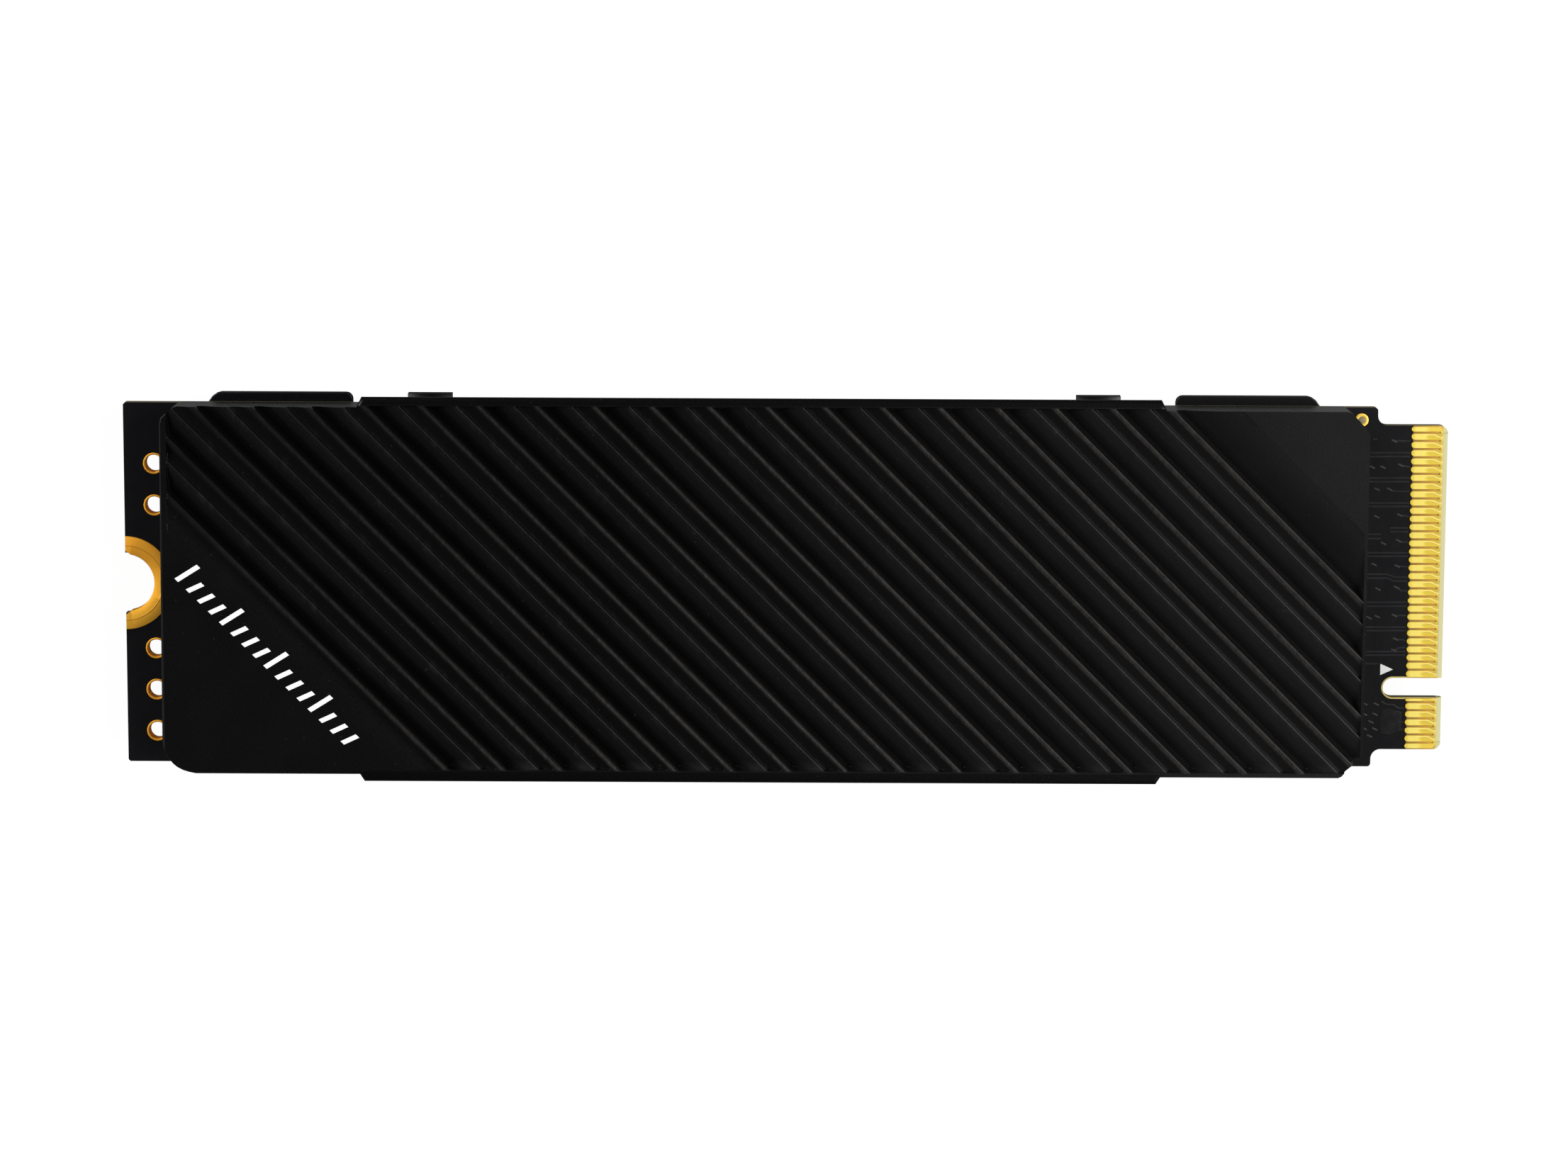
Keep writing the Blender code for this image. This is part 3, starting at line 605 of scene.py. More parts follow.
def contact_gold_material():
    n = Nodes("hard_gold_contacts")
    x, y, z = n.xyz()
    cloud = n.noise(0.8, 2.0, 0.5, seed=21.0)
    fine = n.noise(14.0, 3.0, 0.6, ((0.25, 1.0, 1.0), 0.0), 22.0)
    # Offset from the middle of the nearest contact on the upper face.
    shifted = n.math("ADD", y, 40.0)
    dy = n.math("SUBTRACT", n.math("MODULO", shifted, CONTACT_PITCH), CONTACT_PITCH / 2)
    rows = n.math("MULTIPLY", n.remap(y, 9.5, 9.46), n.remap(y, -9.5, -9.46))
    # The pointed oval that a socket's spring wipes clean, below a painted highlight
    # along a ridge which runs along the contact and slants down to its tip.
    bend = n.remap(x, 39.05, 39.62, smooth=True)
    ridge = n.math("SUBTRACT", dy, n.math("MULTIPLY_ADD", bend, -0.17, 0.115))
    ridge = n.remap(n.math("ABSOLUTE", ridge), 0.055, 0.0, smooth=True)
    ridge = n.math("MULTIPLY", ridge, n.math("MULTIPLY", rows, n.remap(x, 38.3, 38.9)))
    u = n.math("MULTIPLY", n.math("SUBTRACT", x, 39.12), 1 / 0.52)
    v = n.math("MULTIPLY", n.math("ABSOLUTE", n.math("ADD", dy, 0.03)), 1 / 0.15)
    width = n.math("SUBTRACT", 1.0, n.math("MULTIPLY", u, u))
    inside = n.remap(n.math("SUBTRACT", width, v), -0.15, 0.25, smooth=True)
    inside = n.math("MULTIPLY", inside, rows)
    # Painted highlight: a pale band near the contacts' inner ends.
    pale = n.remap(x, 38.95, 38.55, smooth=True)
    pale = n.math("MULTIPLY", pale, n.remap(x, 37.85, 38.1, smooth=True))
    colour = n.mix(cloud, (0.735, 0.550, 0.078), (0.795, 0.610, 0.100))
    colour = n.mix(n.math("MULTIPLY", pale, 0.75), colour, (0.885, 0.765, 0.20))
    colour = n.mix(n.math("MULTIPLY", inside, 0.6), colour, (0.67, 0.505, 0.060))
    colour = n.mix(n.math("MULTIPLY", ridge, 0.8), colour, (1.0, 0.86, 0.34))
    rim = n.remap(n.math("ABSOLUTE", dy), 0.165, 0.205, smooth=True)
    colour = n.mix(n.math("MULTIPLY", rim, n.math("MULTIPLY", rows, 0.45)), colour, (0.70, 0.42, 0.05))
    # Above the ridge's slant, the plating falls away towards the bevel.
    beyond = n.math("SUBTRACT", dy, n.math("MULTIPLY_ADD", bend, -0.17, 0.175))
    beyond = n.math("MULTIPLY", n.remap(beyond, 0.0, 0.05), n.remap(x, 39.15, 39.4))
    beyond = n.math("MULTIPLY", beyond, rows)
    colour = n.mix(n.math("MULTIPLY", beyond, 0.75), colour, (0.56, 0.42, 0.09))
    rough = n.math("MULTIPLY_ADD", inside, -0.05, 0.60)
    normal = n.bump(fine, 0.004, 0.4)
    normal = n.bump(ridge, 0.012, 0.5, normal)
    normal = n.bump(inside, -0.010, 0.4, normal)
    return n.set(Base_Color=colour, Metallic=1.0, Roughness=rough, Normal=normal)


def shell_material():
    n = Nodes("black_painted_shell")
    cloud = n.noise(0.5, 3.0, 0.5, seed=31.0)
    fine = n.noise(6.0, 3.0, 0.55, seed=32.0)
    x, y, z = n.xyz()
    colour = n.mix(cloud, (0.0009, 0.0009, 0.0019), (0.0017, 0.0016, 0.0026))
    # Painted light: the shell is painted lighter towards the connector end.
    colour = n.mix(n.remap(x, -30.0, 34.0), colour, (0.0052, 0.0052, 0.0056))
    # The upright walls are duller than the faces.
    geometry = n.add("ShaderNodeNewGeometry")
    facing = n.add("ShaderNodeSeparateXYZ")
    n.join(geometry.outputs["Normal"], facing.inputs[0])
    upright = n.remap(n.math("ABSOLUTE", facing.outputs["Z"]), 0.7, 0.3)
    rough = n.remap(fine, 0.3, 0.7, 0.20, 0.28)
    return n.set(
        Base_Color=colour,
        Roughness=n.math("MULTIPLY_ADD", upright, 0.55, rough),
        Normal=n.bump(fine, 0.006, 0.5),
        IOR=1.42,
    )


def simple_material(name, low, high, rough, metallic=0.0, scale=3.0, depth=0.008):
    n = Nodes(name)
    cloud = n.noise(scale, 4.0, 0.6)
    return n.set(
        Base_Color=n.mix(cloud, low, high),
        Roughness=n.remap(cloud, 0.3, 0.7, rough - 0.05, rough + 0.05),
        Metallic=metallic,
        Normal=n.bump(n.noise(scale * 4, 3.0), depth, 0.5),
    )


# --------------------------------------------------------------------- the heatsink


def rib_columns():
    columns = [(RIB_FIRST + u, depth) for u, depth in LEAD_IN]
    for i in range(RIB_COUNT - 1):
        columns += [(RIB_FIRST + i * RIB_STEP + u, depth) for u, depth in RIB_PROFILE]
    last = RIB_FIRST + (RIB_COUNT - 1) * RIB_STEP
    return columns + [(last + u, depth) for u, depth in RUN_OUT]


def rib_cutter():
    """The space over the fins, as one closed body. Its lower face is the fins' surface."""
    steps = (-0.32, -0.06, 0.0, 0.015, 0.03, 0.045, 0.06, 0.08, 0.1, 0.12, 0.14, 0.16, 0.18, 0.21, 0.3, 0.6, 1.1)
    cage = bmesh.new()
    grid = []
    high = SINK_TOP + 1.0
    for across, depth in rib_columns():
        low_y = max(FIELD_LOW_Y, across - FIELD_RIGHT)
        high_y = min(FIELD_HIGH_Y, across - FIELD_LEFT)
        # How far this column lies beyond its crest; negative before it.
        from_crest = (across - RIB_FIRST + RIB_STEP / 2) % RIB_STEP - RIB_STEP / 2
        falls = [d * 5.0 if d > 0 else d for d in steps]
        rows = [(low_y + d, fall) for d, fall in zip(steps, falls)]
        rows += [(high_y - d, fall) for d, fall in reversed(list(zip(steps, falls)))]
        column = []
        for y, fall in rows:
            z = SINK_TOP - min(depth, fall)
            # Towards the notch the crests are sharper and less steep beyond.
            keen = min(max((across - y) / -30.0, 0.0), 1.0)
            pull = 0.0
            if -0.14 < from_crest < 0.06:
                pull = from_crest * 0.55 * keen
            elif 0.06 < from_crest < 0.3:
                pull = -0.06 * keen
            column.append(cage.verts.new((across - y - pull, y, z)))
        grid.append(column)
    count = len(grid[0])
    for a, b in zip(grid, grid[1:]):
        for i in range(count - 1):
            cage.faces.new((a[i], a[i + 1], b[i + 1], b[i]))
    rim = (
        [column[0] for column in grid]
        + grid[-1][1:]
        + [column[-1] for column in reversed(grid[:-1])]
        + list(reversed(grid[0][1:-1]))
    )
    lid = [cage.verts.new((v.co.x, v.co.y, high)) for v in rim]
    for i in range(len(rim)):
        j = (i + 1) % len(rim)
        cage.faces.new((rim[i], rim[j], lid[j], lid[i]))
    cage.faces.new(lid)
    bmesh.ops.recalc_face_normals(cage, faces=cage.faces)
    mesh = bpy.data.meshes.new("rib_cutter")
    cage.to_mesh(mesh)
    cage.free()
    return mesh


def sink_outline():
    """The heatsink's outline without its side lips, each corner as in the photograph."""
    w, low = SINK_HALF_WIDTH, SINK_LOW_Y
    return (
        [(33.42, low), (33.62, low + 0.09), (34.72, -9.86), (SINK_RIGHT, -9.55)]
        + [(SINK_RIGHT, 9.68), (34.76, 9.98), (33.88, 10.93), (33.58, w)]
        + [(-36.35, w), (-36.7, w - 0.1), (-37.32, 10.42), (SINK_LEFT, 10.0)]
        + arc(-35.5, -9.1, 2.0, 180, 270, 8)[:-1]
        + [(-35.5, low)]
    )


def lip_plate():
    """The wide middle of the plate, its side walls leaning in below."""
    top = [
        (LIP_LEFT, -SINK_HALF_WIDTH - 0.05),
        (LIP_LEFT + 0.32, LIP_LOW_Y),
        (LIP_RIGHT - 0.32, LIP_LOW_Y),
        (LIP_RIGHT, -SINK_HALF_WIDTH - 0.05),
        (LIP_RIGHT, SINK_HALF_WIDTH + 0.05),
        (LIP_RIGHT - 0.32, LIP_HIGH_Y),
        (LIP_LEFT + 0.32, LIP_HIGH_Y),
        (LIP_LEFT, SINK_HALF_WIDTH + 0.05),
    ]
    cage = bmesh.new()
    upper = [cage.verts.new((x, y, SINK_TOP)) for x, y in top]
    lower = []
    for x, y in top:
        under = y - math.copysign(LIP_UNDERCUT, y) if abs(y) > 11.3 else y
        lower.append(cage.verts.new((x, under, LIP_BOTTOM)))
    cage.faces.new(upper)
    cage.faces.new(list(reversed(lower)))
    for i in range(len(top)):
        j = (i + 1) % len(top)
        cage.faces.new((upper[i], lower[i], lower[j], upper[j]))
    bmesh.ops.recalc_face_normals(cage, faces=cage.faces)
    mesh = bpy.data.meshes.new("lip_plate")
    cage.to_mesh(mesh)
    cage.free()
    return mesh


def build_heatsink():
    body = outline_mesh("sink", [sink_outline()], SINK_BOTTOM, SINK_TOP)
    round_rims(body, [SINK_TOP], END_ROUND, 3, lambda middle: middle.x < -36.9)
    round_rims(body, [SINK_TOP], RIM_ROUND, 3, lambda middle: -36.9 < middle.x < 33.4)
    lips = lip_plate()
    round_rims(lips, [SINK_TOP], LIP_ROUND, 4)
    body = combined(body, [lips], "UNION")
    cutters = [
        outline_mesh(
            "pocket",
            [
                rounded_rectangle(
                    SINK_CENTRE - POCKET_HALF_LENGTH,
                    SINK_CENTRE + POCKET_HALF_LENGTH,
                    -POCKET_HALF_WIDTH,
                    POCKET_HALF_WIDTH,
                    1.0,
                )
            ],
            SINK_BOTTOM - 1,
            POCKET_TOP,
        ),
        box_mesh(
            "slit",
            (SINK_CENTRE - 45, -POCKET_HALF_WIDTH + 0.5, SINK_BOTTOM - 1),
            (SINK_CENTRE + 45, POCKET_HALF_WIDTH - 0.5, END_SLIT_TOP),
        ),
    ]
    for x in (-1, 1):
        x0, x1 = sorted((x * ARM_INNER, x * ARM_OUTER))
        for y in (-1, 1):
            y0, y1 = sorted((y * (ARM_FACES[0] - NOSE_DEPTH - NOSE_CLEAR), y * 11.4))
            cutters.append(
                box_mesh(
                    "recess",
                    (SINK_CENTRE + x0 - NOSE_CLEAR, y0, NOSE_BOTTOM - NOSE_CLEAR),
                    (SINK_CENTRE + x1 + NOSE_CLEAR, y1, NOSE_TOP + NOSE_CLEAR),
                )
            )
            # The arm's upright stands in a shallow channel of the wall.
            y0, y1 = sorted((y * (ARM_FACES[0] - 0.1), y * 11.45))
            cutters.append(
                box_mesh(
                    "channel",
                    (SINK_CENTRE + x0 - NOSE_CLEAR, y0, SINK_BOTTOM - 1),
                    (SINK_CENTRE + x1 + NOSE_CLEAR, y1, ARM_TOP + 0.15),
                )
            )
    body = combined(body, cutters)
    body = combined(body, [rib_cutter()])
    return piece(
        "look_heatsink",
        cleaned(body),
        anodised,
        replaces=["heatsink"],
        smooth=42,
    )


# --------------------------------------------------------------------- the lower shell


def build_lower_shell():
    half, wide, wall = SHELL_HALF_LENGTH, SHELL_HALF_WIDTH, SHELL_WALL
    left, right = SINK_CENTRE - half, SINK_CENTRE + half
    body = outline_mesh(
        "shell", [rounded_rectangle(left, right, -wide, wide, SHELL_CORNER)], 0, SHELL_TOP
    )
    round_rims(body, [0], 0.25, 4)
    added = []
    for x in (-1, 1):
        for y in (-1, 1):
            x0, x1 = sorted((SINK_CENTRE + x * TAB_INNER, SINK_CENTRE + x * TAB_OUTER))
            # The tab's outer corners: a short round towards the middle of the
            # drive, a longer slant towards its end.
            slant, turn = 0.78, 0.42
            inner_x = x0 if x > 0 else x1
            outer_x = x1 if x > 0 else x0
            edge = TAB_HALF_WIDTH
            loop = [(inner_x, wide - 0.4), (inner_x, edge - turn)]
            loop += [
                (inner_x + x * turn * (1 - math.cos(math.radians(a))), edge - turn * (1 - math.sin(math.radians(a))))
                for a in (22, 45, 68, 90)
            ]
            loop += [
                (outer_x - x * slant * 0.95, edge),
                (outer_x - x * slant * 0.62, edge - 0.07),
                (outer_x - x * slant * 0.28, edge - 0.25),
                (outer_x, edge - 0.56),
                (outer_x, wide - 0.4),
            ]
            loop = [(px, py * y) for px, py in loop]
            tab = outline_mesh("tab", [loop], TAB_BOTTOM, SHELL_TOP)
            round_rims(tab, [TAB_BOTTOM, SHELL_TOP], 0.08, 2)
            added.append(tab)
            x0, x1 = sorted((SINK_CENTRE + x * ARM_INNER, SINK_CENTRE + x * ARM_OUTER))
            inner, outer = ARM_FACES
            y0, y1 = sorted((y * (wide - 0.4), y * FOOT_EDGE))
            added.append(box_mesh("foot", (x0, y0, TAB_BOTTOM), (x1, y1, SHELL_TOP)))
            y0, y1 = sorted((y * inner, y * outer))
            added.append(box_mesh("post", (x0, y0, TAB_BOTTOM + 0.3), (x1, y1, ARM_TOP)))
            y0, y1 = sorted((y * (inner - NOSE_DEPTH), y * (inner + 0.1)))
            added.append(
                box_mesh("nose", (x0 + 0.1, y0, NOSE_BOTTOM), (x1 - 0.1, y1, NOSE_TOP))
            )
    body = combined(body, added, "UNION")
    tray = outline_mesh(
        "tray",
        [
            rounded_rectangle(
                left + wall, right - wall, -wide + wall, wide - wall, SHELL_CORNER - 0.6
            )
        ],
        SHELL_FLOOR,
        SHELL_TOP + 1,
    )
    # A shallow plain panel sunk in the underside.
    panel = outline_mesh(
        "panel",
        [rounded_rectangle(left + 3.2, right - 3.2, -wide + 2.2, wide - 2.2, 1.0)],
        -1,
        0.12,
    )
    body = combined(body, [tray, panel])
    body = bevelled(cleaned(body), 0.05, 2, 50)
    return piece(
        "look_lower_shell",
        body,
        shell,
        replaces=["lower_shell"],
        smooth=35,
    )


# --------------------------------------------------------------------- the board


def board_outline():
    slot_low = KEY_SLOT_Y - KEY_SLOT_WIDTH / 2
    slot_high = KEY_SLOT_Y + KEY_SLOT_WIDTH / 2
    slot_end = BOARD_RIGHT - KEY_SLOT_DEPTH + KEY_SLOT_WIDTH / 2
    cut = NOTCH_RADIUS + BARREL_WALL + PLATE_GAP
    points = [(BOARD_LEFT + 0.12, -BOARD_HALF_WIDTH)]
    points += arc(EAR_RIGHT - 0.2, -BOARD_HALF_WIDTH + 0.2, 0.2, -90, 0, 5)
    points += arc(
        EAR_RIGHT + EAR_FILLET, -TONGUE_HALF_WIDTH - EAR_FILLET, EAR_FILLET, 180, 90, 12
    )
    points += arc(
        BOARD_RIGHT - TONGUE_CORNER,
        -TONGUE_HALF_WIDTH + TONGUE_CORNER,
        TONGUE_CORNER,
        -90,
        0,
        6,
    )
    points += [(BOARD_RIGHT, slot_low)]
    points += arc(slot_end, KEY_SLOT_Y, KEY_SLOT_WIDTH / 2, 270, 90, 24)
    points += [(BOARD_RIGHT, slot_high)]
    points += arc(
        BOARD_RIGHT - TONGUE_CORNER,
        TONGUE_HALF_WIDTH - TONGUE_CORNER,
        TONGUE_CORNER,
        0,
        90,
        6,
    )
    points += arc(
        EAR_RIGHT + EAR_FILLET, TONGUE_HALF_WIDTH + EAR_FILLET, EAR_FILLET, 270, 180, 12
    )
    points += arc(EAR_RIGHT - 0.2, BOARD_HALF_WIDTH - 0.2, 0.2, 0, 90, 5)
    points += [(BOARD_LEFT + 0.12, BOARD_HALF_WIDTH), (BOARD_LEFT, BOARD_HALF_WIDTH - 0.12)]
    points += arc(BOARD_LEFT, 0, cut, 90, -90, 48)
    points += [(BOARD_LEFT, -BOARD_HALF_WIDTH + 0.12)]
    return points


def build_board():
    clear = BARREL_WALL + PLATE_GAP
    holes = [circle(HOLE_X, y, HOLE_RADIUS + clear) for y in HOLE_YS]
    holes.append(circle(*EAR_VIA, EAR_VIA_RADIUS + clear, 32))
    body = outline_mesh("board", [board_outline(), *holes], BOARD_BOTTOM, BOARD_TOP)
    # The tip is bevelled on both faces, so that it slides into its socket.
    cage = bmesh.new()
    cage.from_mesh(body)
    tips = [
        e
        for e in cage.edges
        if all(v.co.x > BOARD_RIGHT - 1e-3 for v in e.verts)
        and abs(e.verts[0].co.z - e.verts[1].co.z) < 1e-4
    ]
    bmesh.ops.bevel(
        cage, geom=tips, offset=TIP_CHAMFER, segments=1, profile=0.5, affect="EDGES"
    )
    for vert in cage.verts:
        # The bevel is longer than it is deep.
        if vert.co.x > BOARD_RIGHT - 1e-3:
            middle = (BOARD_TOP + BOARD_BOTTOM) / 2
            half = (BOARD_TOP - BOARD_BOTTOM) / 2
            vert.co.z = middle + math.copysign(half - 0.17, vert.co.z - middle)
    cage.to_mesh(body)
    cage.free()
    round_rims(body, [BOARD_TOP, BOARD_BOTTOM], 0.06, 1)
    return piece(
        "look_board", body, mask, replaces=["pcb"], smooth=20
    )


def comb_outline(first_y, count, high_edge=None, low_edge=None):
    """Contacts side by side, joined near the board's edge by the plating strip."""
    half = CONTACT_WIDTH / 2
    gap = (CONTACT_PITCH - CONTACT_WIDTH) / 2
    last_y = first_y - (count - 1) * CONTACT_PITCH
    fingers = [
        (first_y - i * CONTACT_PITCH - half, first_y - i * CONTACT_PITCH + half)
        for i in range(count)
    ]
    if high_edge is not None:
        fingers.insert(
            0, (first_y + CONTACT_PITCH / 2 + gap, high_edge - SIDE_PAD_MARGIN)
        )
    if low_edge is not None:
        fingers.append((low_edge + SIDE_PAD_MARGIN, last_y - CONTACT_PITCH / 2 - gap))
    # The side pads give way to the board's rounded corners.
    cut_low = 0.26 if low_edge is not None and low_edge < -9 else 0.0
    cut_high = 0.26 if high_edge is not None and high_edge > 9 else 0.0
    points = [(CONTACT_TIP_X, fingers[-1][0] + cut_low), (CONTACT_TIP_X, fingers[0][1] - cut_high)]
    for low, high in fingers:
        round_end = (high - low) / 2
        points.append((CONTACT_STRIP_X, high))
        points += arc(
            CONTACT_INNER_X + round_end, (low + high) / 2, round_end, 90, 270, 12
        )
        points.append((CONTACT_STRIP_X, low))
    return [
        p
        for i, p in enumerate(points)
        if not (
            p[0] == CONTACT_STRIP_X
            and ((i == 2 and not cut_high) or (i == len(points) - 1 and not cut_low))
        )
    ]


def build_contacts():
    slot_low = KEY_SLOT_Y - KEY_SLOT_WIDTH / 2
    slot_high = KEY_SLOT_Y + KEY_SLOT_WIDTH / 2
    top = (BOARD_TOP + 0.002, BOARD_TOP + PLATE_GAP + PLATE_THICK)
    bottom = (BOARD_BOTTOM - PLATE_GAP - PLATE_THICK, BOARD_BOTTOM - 0.002)
    for node, comb, (low, high) in (
        (
            "edge_contacts_top_long",
            comb_outline(TOP_FIRST_Y, LONG_COUNT, TONGUE_HALF_WIDTH, slot_high),
            top,
        ),
        (
            "edge_contacts_top_short",
            comb_outline(
                TOP_SHORT_FIRST_Y, TOP_SHORT_COUNT, slot_low, -TONGUE_HALF_WIDTH
            ),
            top,
        ),
        ("edge_contacts_bottom_long", comb_outline(BOTTOM_FIRST_Y, LONG_COUNT), bottom),
        (
            "edge_contacts_bottom_short",
            comb_outline(BOTTOM_SHORT_FIRST_Y, BOTTOM_SHORT_COUNT),
            bottom,
        ),
    ):
        mesh = outline_mesh(node, [comb], low, high)
        round_rims(mesh, [high if low > BOARD_TOP - 0.5 else low], 0.03, 2)
        piece(
            "look_" + node,
            mesh,
            contact_gold,
            replaces=[node],
            smooth=50,
        )


def eyelet_profile(bore, pad):
    """A plated hole in section, its pads' rims rounded."""
    outside = bore + BARREL_WALL
    top = BOARD_TOP + PLATE_GAP + PLATE_THICK
    bottom = BOARD_BOTTOM - PLATE_GAP - PLATE_THICK
    r = 0.03
    return [
        (pad, top - r),
        (pad, BOARD_TOP + 0.002),
        (outside, BOARD_TOP + 0.002),
        (outside, BOARD_BOTTOM - 0.002),
        (pad, BOARD_BOTTOM - 0.002),
        (pad, bottom + r),
        (pad - 0.3 * r, bottom + 0.3 * r),
        (pad - r, bottom),
        (bore + r, bottom),
        (bore + 0.3 * r, bottom + 0.3 * r),
        (bore, bottom + r),
        (bore, top - r),
        (bore + 0.3 * r, top - 0.3 * r),
        (bore + r, top),
        (pad - r, top),
        (pad - 0.3 * r, top - 0.3 * r),
    ]


def build_plated_holes():
    for i, y in enumerate(HOLE_YS, 1):
        mesh = turned_mesh(
            "eyelet", eyelet_profile(HOLE_RADIUS, HOLE_PAD_RADIUS), (HOLE_X, y), 64
        )
        piece(
            f"look_plated_hole_{i}",
            mesh,
            land_gold,
            replaces=[f"plated_hole_{i}"],
            smooth=40,
        )
    mesh = turned_mesh(
        "eyelet", eyelet_profile(EAR_VIA_RADIUS, EAR_VIA_PAD_RADIUS), EAR_VIA, 48
    )
    # The small hole is filled, its filling a little domed.
    rim = EAR_VIA_RADIUS + 0.04
    top = BOARD_TOP + PLATE_GAP + PLATE_THICK
    plug = turned_mesh(
        "plug",
        [
            (0.0001, top + 0.03),
            (0.1, top + 0.026),
            (0.18, top + 0.014),
            (rim, top - 0.006),
            (rim, BOARD_BOTTOM + 0.1),
            (0.0001, BOARD_BOTTOM + 0.1),
        ],
        EAR_VIA,
        48,
    )
    piece(
        "look_plated_hole_ear",
        mesh,
        contact_gold_plain,
        replaces=["plated_hole_ear"],
        smooth=40,
    )
    piece("look_hole_filling", plug, filling, smooth=40)


def build_screw_land():
    mesh = turned_mesh(
        "land", eyelet_profile(NOTCH_RADIUS, NOTCH_PAD_RADIUS), (BOARD_LEFT, 0), 160
    )
    trim = box_mesh("trim", (-45, -5, 0), (BOARD_LEFT + 0.01, 5, 5))
    under = box_mesh("trim", (SINK_LEFT - 0.05, -5, BOARD_TOP), (-35, 5, 5))
    # The notch's mouth flares a little at its two corners.
    flares = []
    for side in (-1, 1):
        y = side * NOTCH_RADIUS
        loop = [(BOARD_LEFT - 0.5, y * 0.5)]
        loop += [(BOARD_LEFT - 0.5, y + side * NOTCH_FLARE), (BOARD_LEFT + 0.01, y + side * NOTCH_FLARE)]
        loop += [
            (
                BOARD_LEFT + 0.01 + 0.3 * math.sin(math.radians(a)),
                y + side * (NOTCH_FLARE * (1 - math.sin(math.radians(a))) - 0.012),
            )
            for a in (18, 36, 54, 72, 90)
        ]
        loop += [(BOARD_LEFT + 0.31, y * 0.5)]
        if side < 0:
            loop.reverse()
        flares.append(outline_mesh("flare", [loop], BOARD_BOTTOM - 1, BOARD_TOP + 1))
    mesh = combined(mesh, [trim, under, *flares])
    piece(
        "look_screw_land",
        cleaned(mesh),
        land_gold,
        replaces=["screw_land"],
        smooth=40,
    )


# --------------------------------------------------------------------- copper under the mask


def board_point(px, py):
    """The place on the board's upper face of a point measured in the photograph."""
    x = (px - 176.9) / 23.26 - 40
    y = (820 + 0.0044 * (px - 176) - py) / 23.03
    return x, y


def ridge(points, width, height):
    """A low rounded ridge along a line of points on the board's upper face."""
    cage = bmesh.new()
    section = (
        (-0.5, -0.01),
        (-0.42, 0.55),
        (-0.22, 0.95),
        (0.22, 0.95),
        (0.42, 0.55),
        (0.5, -0.01),
    )
    rings = []
    for i, point in enumerate(points):
        before = Vector(points[max(i - 1, 0)])
        after = Vector(points[min(i + 1, len(points) - 1)])
        here = Vector(point)
        one = (here - before).normalized() if i else (after - here).normalized()
        two = (after - here).normalized() if i < len(points) - 1 else one
        bisect = (one + two).normalized()
        normal = Vector((-bisect.y, bisect.x))
        stretch = 1 / max(0.5, bisect.dot(one))
        rings.append(
            [
                cage.verts.new(
                    (
                        here.x + normal.x * width * s * stretch,
                        here.y + normal.y * width * s * stretch,
                        BOARD_TOP + height * h,
                    )
                )
                for s, h in section
            ]
        )
    for a, b in zip(rings, rings[1:]):
        for i in range(len(section)):
            j = (i + 1) % len(section)
            cage.faces.new((a[i], b[i], b[j], a[j]))
    cage.faces.new(rings[0])
    cage.faces.new(list(reversed(rings[-1])))
    bmesh.ops.recalc_face_normals(cage, faces=cage.faces)
    mesh = bpy.data.meshes.new("ridge")
    cage.to_mesh(mesh)
    cage.free()
    return mesh


